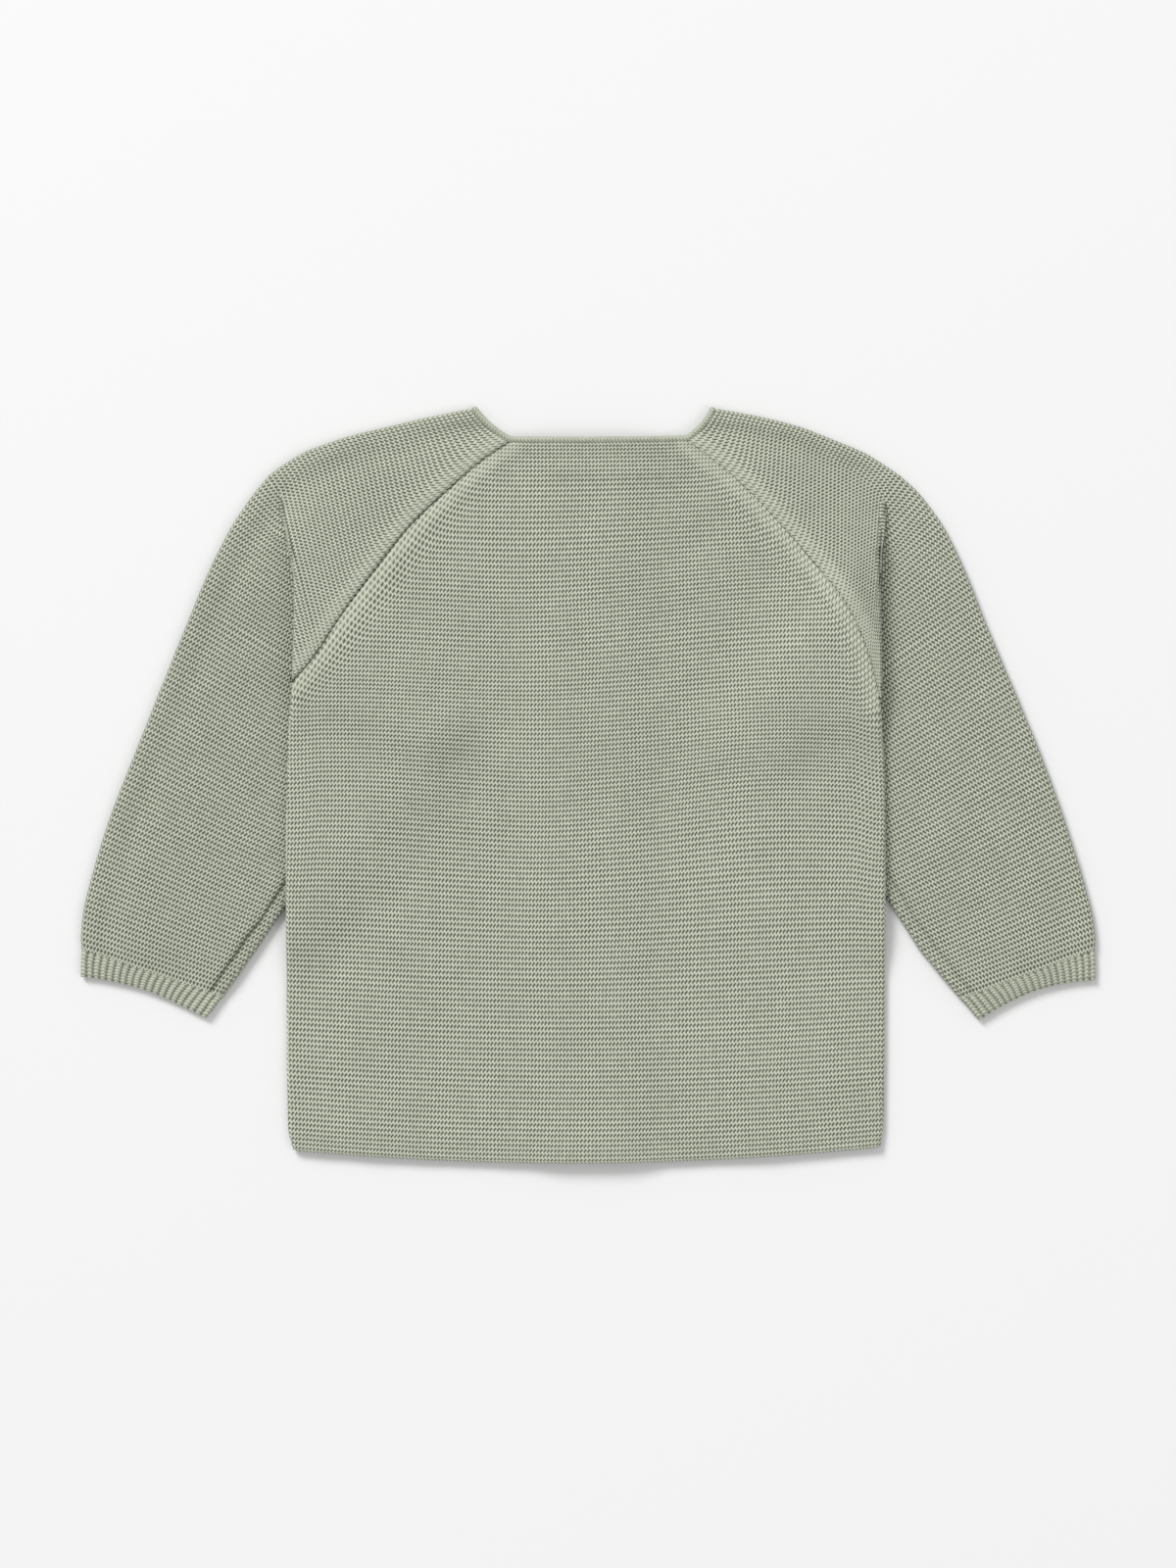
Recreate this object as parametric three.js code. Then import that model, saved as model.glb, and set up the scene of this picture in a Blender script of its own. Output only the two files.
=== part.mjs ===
import * as THREE from "three";

// A baby cardigan in garter stitch, laid flat on its front with both sleeves folded down beside it.
// Units are millimetres and +Z is up. The origin is on the surface, under the middle of the garment,
// and the neck points along +Y. The wearer's left is at -X, because the back lies on top.

// Cloth
const CLOTH = 1.8; // the knitted cloth
const AIR = 0.7; // between two cloths that lie on each other
const SEAM = 0.3; // between two pieces at a seam
const RAGLAN_SHIFT = 1.5 * SEAM; // sideways, which leaves that gap along a slanted raglan
const TUBE = 2 * CLOTH + AIR; // a flattened sleeve or body
const FOLD_R = TUBE / 2; // outer radius of a folded edge
const FOLD_INNER_R = AIR / 2;

// Body
const FRONT_LAP = 22; // how far the fronts lap at the centre
const LAP_SPREAD = 24; // over this width the cloth comes down beside the lap
const FRONT_NECK_Y = 108; // lowest point of the front neckline
const FRONT_HEM_RISE = 1.5; // the fronts end this much above the hem of the back
const UNDERARM_V = 0.63; // share of a panel's side that lies below the underarm

// Neck edge
const NECK_BAND = 2.4;
const NECK_ROLL = 0.5; // how far its two edges curl down
const NECK_STEPS = 9; // along a front neckline, and along half of the back
const NECK_TOP = 175; // a point of the neck opening, above all of its edge
const TURN_STEP = 0.5; // stations closer in plan than this turn round the sleeve's fold

// Armhole pleat: the sleeve is folded under the body, then folded out again
const STACK_GAP = 0.5; // between the sleeve, the pleat and the body above
const PLEAT_THICK = 2.3;
const PLEAT_INSET = 5;
const ARM_LIFT = TUBE + STACK_GAP;
const PLEAT_LIFT = PLEAT_THICK + 0.4;
const LIFT_MARGIN = 9; // the cloth above is level this far round what lifts it
const LIFT_SPREAD = 48; // and comes down over this width
const SLIT_GAP = 1; // between the cap's edge and the arm beside it, at the top of the crease
const BEND_AT = 0.3; // shares of the crease at which the arm's start line bends
const PLEAT_FROM = 0.42; // at which the pleat begins
const PLEAT_TO = 0.98; // at which it ends
const CAP_CORNER = 0.9; // and at which the cap's edge leaves it for the raglan

// Sleeve
const UNDERARM_SEAM_IN = 6.6; // the underarm seam lies this far inside the inner edge
const CREASE_S = 0.72; // share of a sleeve's width at which the crease starts
const BEND_S = 0.6;
const FOLD_NEAR = 0.93; // share of the width from which the fold's direction is taken
const ARM_SETTLE = 0.16; // share of the arm's length over which it comes down to the surface
const CUFF_RIBS = 20; // on each side of a cuff
const RIB_DEPTH = 0.7;
const RIB_PROFILE = [0, 1, 1]; // one furrow and two crest points for each rib

// Grid steps
const BACK_COLUMNS = 22;
const FRONT_COLUMNS = 12;
const BODY_ROWS = 15; // of a panel, below the underarm
const RAGLAN_ROWS = 10; // of a panel and of the sleeve's cap, so that their edges match
const ARM_ROWS = 9;

// Each side in plan. out is the distance from the centre line and y runs towards the neck.
// raglan goes from the neck to the underarm, crease from its start P to the underarm, fold is the outer
// edge from the neck to the cuff, hidden is the sleeve's underarm edge from the pleat to the cuff.
const SIDES = [
  {
    name: "left",
    sign: -1,
    raglan: [
      { out: 35.5, y: 153.5 },
      { out: 48.0, y: 145.0 },
      { out: 63.0, y: 132.0 },
      { out: 79.5, y: 116.5 },
      { out: 95.5, y: 96.5 },
      { out: 111.0, y: 75.0 },
      { out: 123.5, y: 56.0 },
      { out: 132.5, y: 46.0 },
    ],
    crease: [
      { out: 138.5, y: 131.0 },
      { out: 135.5, y: 118.0 },
      { out: 132.5, y: 104.0 },
      { out: 132.0, y: 75.0 },
      { out: 132.9, y: 45.7 },
    ],
    side: [
      { out: 132.5, y: 46.0 },
      { out: 134.5, y: 18.0 },
      { out: 135.3, y: -14.0 },
      { out: 135.3, y: -100.0 },
      { out: 134.6, y: -155.0 },
      { out: 132.5, y: -164.5 },
    ],
    fold: [
      { out: 53.0, y: 168.6 },
      { out: 71.0, y: 165.0 },
      { out: 90.0, y: 160.6 },
      { out: 108.5, y: 156.0 },
      { out: 126.5, y: 149.6 },
      { out: 141.0, y: 140.8 },
      { out: 149.5, y: 131.5 },
      { out: 154.0, y: 125.4 },
    ],
    outer: [
      { out: 154.0, y: 125.4 },
      { out: 161.0, y: 114.4 },
      { out: 170.0, y: 96.8 },
      { out: 181.0, y: 70.4 },
      { out: 202.2, y: 17.6 },
      { out: 215.8, y: -17.6 },
      { out: 226.0, y: -52.8 },
      { out: 227.9, y: -68.0 },
      { out: 227.6, y: -74.5 },
    ],
    hidden: [
      { out: 74.6, y: 26.4 },
      { out: 105.0, y: -14.5 },
      { out: 136.0, y: -55.5 },
      { out: 148.9, y: -74.8 },
      { out: 164.0, y: -96.0 },
    ],
    cuff: [
      { out: 171.6, y: -105.2 },
      { out: 186.3, y: -97.9 },
      { out: 200.4, y: -92.2 },
      { out: 218.0, y: -88.0 },
      { out: 228.3, y: -86.6 },
    ],
  },
  {
    name: "right",
    sign: 1,
    raglan: [
      { out: 45.0, y: 154.0 },
      { out: 55.0, y: 146.5 },
      { out: 66.5, y: 137.0 },
      { out: 77.5, y: 126.5 },
      { out: 97.0, y: 104.7 },
      { out: 114.5, y: 82.7 },
      { out: 124.0, y: 63.0 },
      { out: 131.0, y: 38.0 },
    ],
    crease: [
      { out: 133.0, y: 128.0 },
      { out: 131.5, y: 115.0 },
      { out: 130.5, y: 101.0 },
      { out: 130.8, y: 70.0 },
      { out: 131.4, y: 37.7 },
    ],
    side: [
      { out: 131.0, y: 38.0 },
      { out: 133.0, y: 9.0 },
      { out: 133.3, y: -20.0 },
      { out: 133.3, y: -100.0 },
      { out: 132.6, y: -155.0 },
      { out: 131.5, y: -163.0 },
    ],
    fold: [
      { out: 58.0, y: 168.6 },
      { out: 77.5, y: 165.0 },
      { out: 95.0, y: 160.6 },
      { out: 107.0, y: 156.0 },
      { out: 122.5, y: 149.6 },
      { out: 137.5, y: 140.8 },
      { out: 148.0, y: 131.5 },
      { out: 153.0, y: 125.4 },
    ],
    outer: [
      { out: 153.0, y: 125.4 },
      { out: 160.4, y: 114.4 },
      { out: 169.0, y: 96.8 },
      { out: 179.5, y: 70.4 },
      { out: 201.7, y: 17.6 },
      { out: 214.5, y: -17.6 },
      { out: 225.2, y: -52.8 },
      { out: 227.9, y: -68.0 },
      { out: 227.8, y: -74.5 },
    ],
    hidden: [
      { out: 78.0, y: 21.0 },
      { out: 105.0, y: -13.5 },
      { out: 134.5, y: -52.0 },
      { out: 148.9, y: -74.8 },
      { out: 167.5, y: -97.0 },
    ],
    cuff: [
      { out: 175.8, y: -106.2 },
      { out: 186.8, y: -99.4 },
      { out: 200.9, y: -93.0 },
      { out: 216.0, y: -89.3 },
      { out: 228.3, y: -88.2 },
    ],
  },
];
const HEM_DIP = 6.5; // the middle of the hem lies this far below its corners
const NECK_DIP = 0.5; // and the middle of the back neck below its ends

const YARN = { color: 0xa8ac9c, roughness: 0.95, metalness: 0 };
const RIB_YARN = { color: 0x9aa092, roughness: 0.95, metalness: 0 };

const lerp = (a, b, t) => a + (b - a) * t;
const mix = (p, q, t) => ({ out: lerp(p.out, q.out, t), y: lerp(p.y, q.y, t) });
const smooth = (t) => {
  const c = Math.min(Math.max(t, 0), 1);
  return c * c * (3 - 2 * c);
};
const apart = (p, q) => Math.hypot(q.out - p.out, q.y - p.y);
const evenly = (steps, from, to) => Array.from({ length: steps + 1 }, (_, i) => lerp(from, to, i / steps));

// Row shares of a panel from its hem to its neck, even below the underarm and even above it.
const PANEL_ROWS = [
  ...evenly(BODY_ROWS, 0, UNDERARM_V).slice(0, -1),
  ...evenly(RAGLAN_ROWS, UNDERARM_V, 1),
];

// A smooth curve through the rows of a table, evenly spaced by length: t 0 to 1 gives a point.
function through(rows) {
  const knots = [0];
  for (let i = 1; i < rows.length; i += 1) knots.push(knots[i - 1] + apart(rows[i - 1], rows[i]));
  const last = rows.length - 1;
  const slope = (i, key) => {
    const a = Math.max(i - 1, 0);
    const b = Math.min(i + 1, last);
    return (rows[b][key] - rows[a][key]) / (knots[b] - knots[a]);
  };
  return (t) => {
    const w = Math.min(Math.max(t, 0), 1) * knots[last];
    let i = 0;
    while (i < last - 1 && knots[i + 1] < w) i += 1;
    const step = knots[i + 1] - knots[i];
    const f = (w - knots[i]) / step;
    const at = (key) =>
      (1 + 2 * f) * (1 - f) ** 2 * rows[i][key] +
      f * (1 - f) ** 2 * step * slope(i, key) +
      f * f * (3 - 2 * f) * rows[i + 1][key] +
      f * f * (f - 1) * step * slope(i + 1, key);
    return { out: at("out"), y: at("y") };
  };
}

// Straight pieces joined end to end, each with its own end parameter.
function joined(pieces) {
  return (t) => {
    let from = 0;
    for (const [curve, to] of pieces) {
      if (t <= to) return curve((t - from) / (to - from));
      from = to;
    }
    return pieces.at(-1)[0](1);
  };
}
const reversed = (curve) => (t) => curve(1 - t);
const straight = (p, q) => (t) => mix(p, q, t);

// The patch between four edge curves: start and end run with u, low and high run with v.
function patch({ start, end, low, high }) {
  const corner = [start(0), start(1), end(0), end(1)];
  const at = (key, u, v) =>
    (1 - v) * start(u)[key] +
    v * end(u)[key] +
    (1 - u) * low(v)[key] +
    u * high(v)[key] -
    (1 - v) * ((1 - u) * corner[0][key] + u * corner[1][key]) -
    v * ((1 - u) * corner[2][key] + u * corner[3][key]);
  return (u, v) => ({ out: at("out", u, v), y: at("y", u, v) });
}

// Distance from a point to a polygon in plan, 0 inside.
function outside(polygon, out, y) {
  let inside = false;
  let nearest = Infinity;
  polygon.forEach((p, i) => {
    const q = polygon[(i + 1) % polygon.length];
    const length2 = (q.out - p.out) ** 2 + (q.y - p.y) ** 2;
    const dot = (out - p.out) * (q.out - p.out) + (y - p.y) * (q.y - p.y);
    const near = mix(p, q, Math.min(Math.max(dot / length2, 0), 1));
    nearest = Math.min(nearest, apart(near, { out, y }));
    if (p.y > y !== q.y > y && out < lerp(p.out, q.out, (y - p.y) / (q.y - p.y))) inside = !inside;
  });
  return inside ? 0 : nearest;
}

// Named points of one side, worked out from its tables.
for (const side of SIDES) {
  const crease = through(side.crease);
  const bend = crease(BEND_AT);
  side.creaseCurve = crease;
  side.start = side.crease[0];
  side.bend = { out: bend.out + SLIT_GAP, y: bend.y };
  side.inner = side.hidden[0];
  side.arm = [bend, side.inner, side.hidden[2]];
  side.pleat = [crease(PLEAT_FROM), crease(PLEAT_TO), side.inner];
}

// How far the cloth above is lifted by the sleeve and the pleat under it.
function armholeLift(side, out, y) {
  const rise = (polygon, margin) =>
    1 - smooth((outside(polygon, out, y) - margin) / LIFT_SPREAD);
  return ARM_LIFT * rise(side.arm, LIFT_MARGIN) + PLEAT_LIFT * rise(side.pleat, LIFT_MARGIN / 3);
}
function bodyLift(x, y) {
  const side = SIDES[x < 0 ? 0 : 1];
  return armholeLift(side, Math.abs(x), y);
}
const lapLift = (x) =>
  (CLOTH + AIR) * (1 - smooth((Math.abs(x) - FRONT_LAP / 2 - 1) / LAP_SPREAD));

// A cloth wall: outer and inner hold the two faces of each grid point, cells hold four point numbers.
function wall(name, yarn, outer, inner, cells) {
  const faces = [];
  const rim = new Map();
  for (const cell of cells) {
    const [a, b, c, d] = cell;
    faces.push([a, b, c], [a, c, d]);
    cell.forEach((from, i) => rim.set(`${from}_${cell[(i + 1) % 4]}`, [from, cell[(i + 1) % 4]]));
  }
  const n = outer.length;
  const index = [];
  for (const [a, b, c] of faces) index.push(a, b, c, a + n, c + n, b + n);
  for (const [from, to] of rim.values())
    if (!rim.has(`${to}_${from}`)) index.push(to, from, from + n, to, from + n, to + n);
  return solid(name, yarn, [...outer, ...inner], index);
}

// A named mesh of points and triangles, turned so that its faces point out.
function solid(name, yarn, points, index) {
  let volume = 0;
  for (let i = 0; i < index.length; i += 3) {
    const [p, q, r] = [0, 1, 2].map((k) => new THREE.Vector3(...points[index[i + k]]));
    volume += p.dot(q.cross(r));
  }
  const turned = volume > 0 ? index : [...index].reverse();
  const geometry = new THREE.BufferGeometry();
  geometry.setAttribute("position", new THREE.Float32BufferAttribute(points.flat(), 3));
  geometry.setIndex(turned);
  geometry.computeVertexNormals();
  const mesh = new THREE.Mesh(geometry, new THREE.MeshStandardMaterial(yarn));
  mesh.name = name;
  return mesh;
}

// The cells of a grid with the given numbers of points each way.
function gridCells(columns, rows, number = (i, j) => j * columns + i) {
  const cells = [];
  for (let j = 0; j + 1 < rows; j += 1)
    for (let i = 0; i + 1 < columns; i += 1)
      cells.push([number(i, j), number(i + 1, j), number(i + 1, j + 1), number(i, j + 1)]);
  return cells;
}

// Shares of a width from 0 to 1 in even steps, with close steps at an edge that rolls over.
function spaced(steps, width, closeStart, closeEnd) {
  const shares = Array.from({ length: steps + 1 }, (_, i) => i / steps);
  const close = [0.25, 1].map((share) => (share * FOLD_R) / width);
  if (closeStart) shares.splice(1, 0, ...close);
  if (closeEnd) shares.splice(-1, 0, ...close.reverse().map((share) => 1 - share));
  return shares;
}

// Height of a rolled edge, as a share of the full height, at a distance from the edge.
const rolled = (distance) => Math.sqrt(Math.max(1 - (1 - Math.min(distance / FOLD_R, 1)) ** 2, 0.02));

// A body panel: its side curve below the underarm and its raglan above it.
function panelSide(side) {
  return joined([
    [reversed(through(side.side)), UNDERARM_V],
    [reversed(through(side.raglan)), 1],
  ]);
}

// Points of a panel on level 0 (on the surface) or 1 (over the fronts), as two faces of the cloth.
function panelFaces(x, y, edge, v, level, extra) {
  const base = bodyLift(x, y) + extra;
  const roll = v < UNDERARM_V ? rolled(edge) : 1;
  const middle = base + TUBE / 2;
  const sign = level ? 1 : -1;
  const near = lerp(SEAM / 2, AIR / 2, roll);
  const far = lerp(SEAM / 2 + 0.4, TUBE / 2, roll);
  return { outer: [x, y, middle + sign * far], inner: [x, y, middle + sign * near] };
}

function makeBack() {
  const [left, right] = SIDES;
  const signed = (curve, sign) => (t) => {
    const p = curve(t);
    return { out: sign * p.out, y: p.y };
  };
  const low = signed(panelSide(left), -1);
  const high = signed(panelSide(right), 1);
  const across = (v, dip) => (u) => {
    const p = mix(low(v), high(v), u);
    return { out: p.out, y: p.y - dip * (1 - (2 * u - 1) ** 2) };
  };
  const shape = patch({ start: across(0, HEM_DIP), end: across(1, NECK_DIP), low, high });
  const width = high(0).out - low(0).out;
  const shares = spaced(BACK_COLUMNS, width, true, true);
  const outer = [];
  const inner = [];
  for (const v of PANEL_ROWS)
    for (const u of shares) {
      const p = shape(u, v);
      const edge = Math.min(u, 1 - u) * width;
      const faces = panelFaces(p.out, p.y, edge, v, 1, lapLift(p.out));
      outer.push(faces.outer);
      inner.push(faces.inner);
    }
  return wall("back", YARN, outer, inner, gridCells(shares.length, PANEL_ROWS.length));
}

// The front neckline from the front edge to the raglan, low at the centre and steep at the raglan.
function frontNeckline(side) {
  const corner = side.raglan[0];
  return (u) => ({
    out: lerp(-FRONT_LAP / 2, corner.out, u),
    y: lerp(FRONT_NECK_Y, corner.y, smooth(u) * u),
  });
}

// The back neckline from the raglan to the centre line.
function backNeck(side, u) {
  const [left, right] = SIDES.map((each) => each.raglan[0]);
  const width = left.out + right.out;
  const out = side.raglan[0].out * (1 - u);
  const share = (left.out + side.sign * out) / width;
  const y = lerp(left.y, right.y, share) - NECK_DIP * (1 - (2 * share - 1) ** 2);
  return { out, y };
}

function makeFront(side, lifted) {
  const high = panelSide(side);
  const edgeOut = -FRONT_LAP / 2;
  const hemCorner = high(0);
  const hem = (u) => {
    const out = lerp(edgeOut, hemCorner.out, u);
    const dip = HEM_DIP * (1 - (out / hemCorner.out) ** 2);
    return { out, y: hemCorner.y + FRONT_HEM_RISE - dip };
  };
  const neckline = frontNeckline(side);
  const outerSide = (v) => {
    const p = high(v);
    return { out: p.out, y: p.y + FRONT_HEM_RISE * Math.max(1 - v / UNDERARM_V, 0) };
  };
  const low = straight(hem(0), neckline(0));
  const shape = patch({ start: hem, end: neckline, low, high: outerSide });
  const width = hemCorner.out - edgeOut;
  const shares = spaced(FRONT_COLUMNS, width, false, true);
  const outer = [];
  const inner = [];
  for (const v of PANEL_ROWS)
    for (const u of shares) {
      const p = shape(u, v);
      const x = side.sign * p.out;
      const extra = lifted ? lapLift(x) : 0;
      const faces = panelFaces(x, p.y, (1 - u) * width, v, 0, extra);
      outer.push(faces.outer);
      inner.push(faces.inner);
    }
  return wall(`front_${side.name}`, YARN, outer, inner, gridCells(shares.length, PANEL_ROWS.length));
}

// One section of a sleeve, as pairs of outer and inner points in plan and height. line gives the plan
// from the seam (0) to the outer fold (1), shares are the columns of the wall, base is their height.
function sleeveSection(line, shares, base) {
  const fold = line(1);
  const inward = line(FOLD_NEAR);
  const reach = apart(inward, fold);
  const centre = mix(fold, inward, FOLD_R / reach);
  const away = { out: (fold.out - inward.out) / reach, y: (fold.y - inward.y) / reach };
  const flat = [...shares.map(line), centre];
  const heights = [...shares.map(base), base(1)];
  const wallAt = (i, top) => {
    const { out, y } = flat[i];
    const level = heights[i] + (top ? TUBE : 0);
    const towards = top ? -1 : 1;
    return { outer: [out, y, level], inner: [out, y, level + towards * CLOTH] };
  };
  const turnAt = (degrees) => {
    const angle = THREE.MathUtils.degToRad(degrees);
    const at = (radius) => [
      centre.out + away.out * radius * Math.cos(angle),
      centre.y + away.y * radius * Math.cos(angle),
      heights.at(-1) + TUBE / 2 + radius * Math.sin(angle),
    ];
    return { outer: at(FOLD_R), inner: at(FOLD_INNER_R) };
  };
  const top = flat.map((_, i) => wallAt(i, true));
  const bottom = flat.map((_, i) => wallAt(i, false)).reverse();
  return [...top, ...[45, 0, -45].map(turnAt), ...bottom];
}

// The cap: from the neck (v 0) to the crease (v 1), and from the raglan (u 0) to the fold (u 1).
function capShape(side) {
  const raglan = through(side.raglan);
  const low = (v) => {
    const p = raglan(v);
    return { out: p.out + RAGLAN_SHIFT, y: p.y };
  };
  const high = through(side.fold);
  const start = straight(low(0), high(0));
  const corner = side.creaseCurve(CAP_CORNER);
  const crease = joined([
    [straight(low(1), corner), 1 - CAP_CORNER],
    [(t) => side.creaseCurve(CAP_CORNER * (1 - t)), 1],
  ]);
  const end = joined([
    [crease, CREASE_S],
    [straight(side.start, high(1)), 1],
  ]);
  return patch({ start, end, low, high });
}

// The arm: from the crease line (v 0) to the cuff (v 1), and from the underarm edge to the fold.
function armShape(side) {
  const low = through(side.hidden);
  const high = through(side.outer);
  const start = joined([
    [straight(side.inner, side.bend), BEND_S],
    [straight(side.bend, side.start), CREASE_S],
    [straight(side.start, high(0)), 1],
  ]);
  return patch({ start, end: straight(low(1), high(1)), low, high });
}

const WALL_SHARES = [0, 0.12, 0.24, 0.36, 0.48, BEND_S, CREASE_S, 0.81, 0.9];
const CREASE_COLUMN = WALL_SHARES.indexOf(CREASE_S);

// One sleeve: the cap lies over the arm below the crease and is one with it above the crease.
function makeSleeve(side) {
  const cap = capShape(side);
  const arm = armShape(side);
  const settle = (u) => 1 - smooth((u - CREASE_S) / (1 - CREASE_S));
  const capBase = (v) => (u) => {
    const p = cap(u, v);
    return armholeLift(side, p.out, p.y) * settle(u);
  };
  const startBase = armholeLift(side, side.start.out, side.start.y);
  const armBase = (v) => (u) => {
    const fade = 1 - smooth(v / ARM_SETTLE);
    if (u >= CREASE_S) return capBase(1)(u) * fade;
    return startBase * fade * (1 - smooth((CREASE_S - u) / (CREASE_S - BEND_S)));
  };
  const outer = [];
  const inner = [];
  const place = (p) => [side.sign * p[0], p[1], p[2]];
  const add = (point) => {
    outer.push(place(point.outer));
    inner.push(place(point.inner));
    return outer.length - 1;
  };
  const rows = [];
  for (let j = 0; j <= RAGLAN_ROWS; j += 1) {
    const v = j / RAGLAN_ROWS;
    rows.push(sleeveSection((u) => cap(u, v), WALL_SHARES, capBase(v)).map(add));
  }
  const shared = rows.at(-1);
  const columns = shared.length;
  const armRows = [];
  for (let j = 0; j <= ARM_ROWS; j += 1) {
    const v = j / ARM_ROWS;
    const width = apart(arm(0, v), arm(0.3, v)) / 0.3;
    const seam = (UNDERARM_SEAM_IN + SEAM / 2) / width;
    const shares = WALL_SHARES.map((s) => Math.max(s, lerp(seam, CREASE_S, s / CREASE_S)));
    const section = sleeveSection((u) => arm(u, v), shares, armBase(v));
    const kept = (i) => j === 0 && i >= CREASE_COLUMN && i < columns - CREASE_COLUMN;
    const numbers = section.map((point, i) => (kept(i) ? shared[i] : null));
    section.forEach((point, i) => {
      if (numbers[i] === null) numbers[i] = add(point);
    });
    armRows.push([...numbers, ...underarmTurn(arm, v, width, armBase(v)(0)).map(add)]);
  }
  const cells = [];
  const join = (list) => {
    const count = list[0].length;
    cells.push(...gridCells(count, list.length, (i, j) => list[j][i]));
  };
  join(rows);
  join(armRows);
  return wall(`sleeve_${side.name}`, YARN, outer, inner, cells);
}

// The arm's inner edge: the lower wall turns up round it and ends at the underarm seam.
function underarmTurn(arm, v, width, base) {
  const at = (distance) => arm(distance / width, v);
  const centre = at(FOLD_R);
  const edge = at(0);
  const reach = apart(centre, edge);
  const turn = (degrees) => {
    const angle = THREE.MathUtils.degToRad(degrees);
    const point = (radius) => [
      centre.out + ((edge.out - centre.out) / reach) * radius * Math.cos(angle),
      centre.y + ((edge.y - centre.y) / reach) * radius * Math.cos(angle),
      base + TUBE / 2 + radius * Math.sin(angle),
    ];
    return { outer: point(FOLD_R), inner: point(FOLD_INNER_R) };
  };
  const end = at(UNDERARM_SEAM_IN - SEAM / 2);
  const level = base + TUBE;
  const strip = { outer: [end.out, end.y, level], inner: [end.out, end.y, level - CLOTH] };
  return [...[-90, -45, 0, 45, 90].map(turn), strip];
}

// The folded cloth under the armhole, as one rounded slab between the sleeve and the body.
function makePleat(side) {
  const corners = side.pleat;
  const middle = mix(mix(corners[0], corners[1], 0.5), corners[2], 1 / 3);
  const ring = (share, z) => {
    const shape = new THREE.CatmullRomCurve3(
      corners.flatMap((p, i) => {
        const q = corners[(i + 1) % 3];
        return [0.12, 0.5, 0.88].map((t) => {
          const edge = mix(p, q, t);
          const inset = 1 - PLEAT_INSET / apart(edge, middle);
          const r = mix(middle, edge, share * inset);
          return new THREE.Vector3(side.sign * r.out, r.y, z);
        });
      }),
      true,
    );
    return shape.getPoints(24).slice(0, -1).map((p) => p.toArray());
  };
  const bottom = ARM_LIFT - 0.1;
  const profile = [
    [0.3, 0],
    [0.97, 0],
    [1, PLEAT_THICK / 2],
    [0.97, PLEAT_THICK],
    [0.3, PLEAT_THICK],
  ];
  const rings = profile.map(([share, rise]) => ring(share, bottom + rise));
  const count = rings[0].length;
  const points = [...rings.flat(), [side.sign * middle.out, middle.y, bottom]];
  points.push([side.sign * middle.out, middle.y, bottom + PLEAT_THICK]);
  const index = [];
  const at = (k, i) => k * count + (i % count);
  for (let k = 0; k + 1 < rings.length; k += 1)
    for (let i = 0; i < count; i += 1)
      index.push(at(k, i), at(k, i + 1), at(k + 1, i + 1), at(k, i), at(k + 1, i + 1), at(k + 1, i));
  const [low, high] = [points.length - 2, points.length - 1];
  for (let i = 0; i < count; i += 1) {
    index.push(at(0, i + 1), at(0, i), low);
    index.push(at(rings.length - 1, i), at(rings.length - 1, i + 1), high);
  }
  return solid(`pleat_${side.name}`, YARN, points, index);
}

// Half of the neck edge, from the front edge over the sleeve's fold to the middle of the back. Each
// station has the cloth's edge in plan, the height of both faces and how far they reach past the edge.
function neckTrack(side, lifted) {
  const shape = capShape(side);
  const neckline = frontNeckline(side);
  const sleeveEdge = (u) => shape(u, 0);
  const fold = sleeveEdge(1);
  const from = sleeveEdge(0);
  const reach = apart(from, fold);
  const away = { out: (fold.out - from.out) / reach, y: (fold.y - from.y) / reach };
  const centre = mix(fold, from, FOLD_R / reach);
  const flat = (p, top, base) => {
    const level = base + (top ? TUBE : 0);
    return { p, outer: level, inner: level + (top ? -CLOTH : CLOTH), away, far: 0, near: 0 };
  };
  const turn = (degrees) => {
    const angle = THREE.MathUtils.degToRad(degrees);
    return {
      p: centre,
      outer: TUBE / 2 + FOLD_R * Math.sin(angle),
      inner: TUBE / 2 + FOLD_INNER_R * Math.sin(angle),
      away,
      far: FOLD_R * Math.cos(angle),
      near: FOLD_INNER_R * Math.cos(angle),
    };
  };
  const lap = (p) => lapLift(side.sign * p.out);
  const front = evenly(NECK_STEPS, 0, 1).map(neckline);
  const back = evenly(NECK_STEPS, 0, 1).map((u) => backNeck(side, u));
  const along = [0.3, 0.65].map(sleeveEdge);
  return [
    ...front.map((p) => flat(p, false, lifted ? lap(p) : 0)),
    ...[...along, centre].map((p) => flat(p, false, 0)),
    ...[-45, 0, 45].map(turn),
    ...[centre, ...along.reverse()].map((p) => flat(p, true, 0)),
    ...back.map((p) => flat(p, true, lap(p))),
  ];
}

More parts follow.
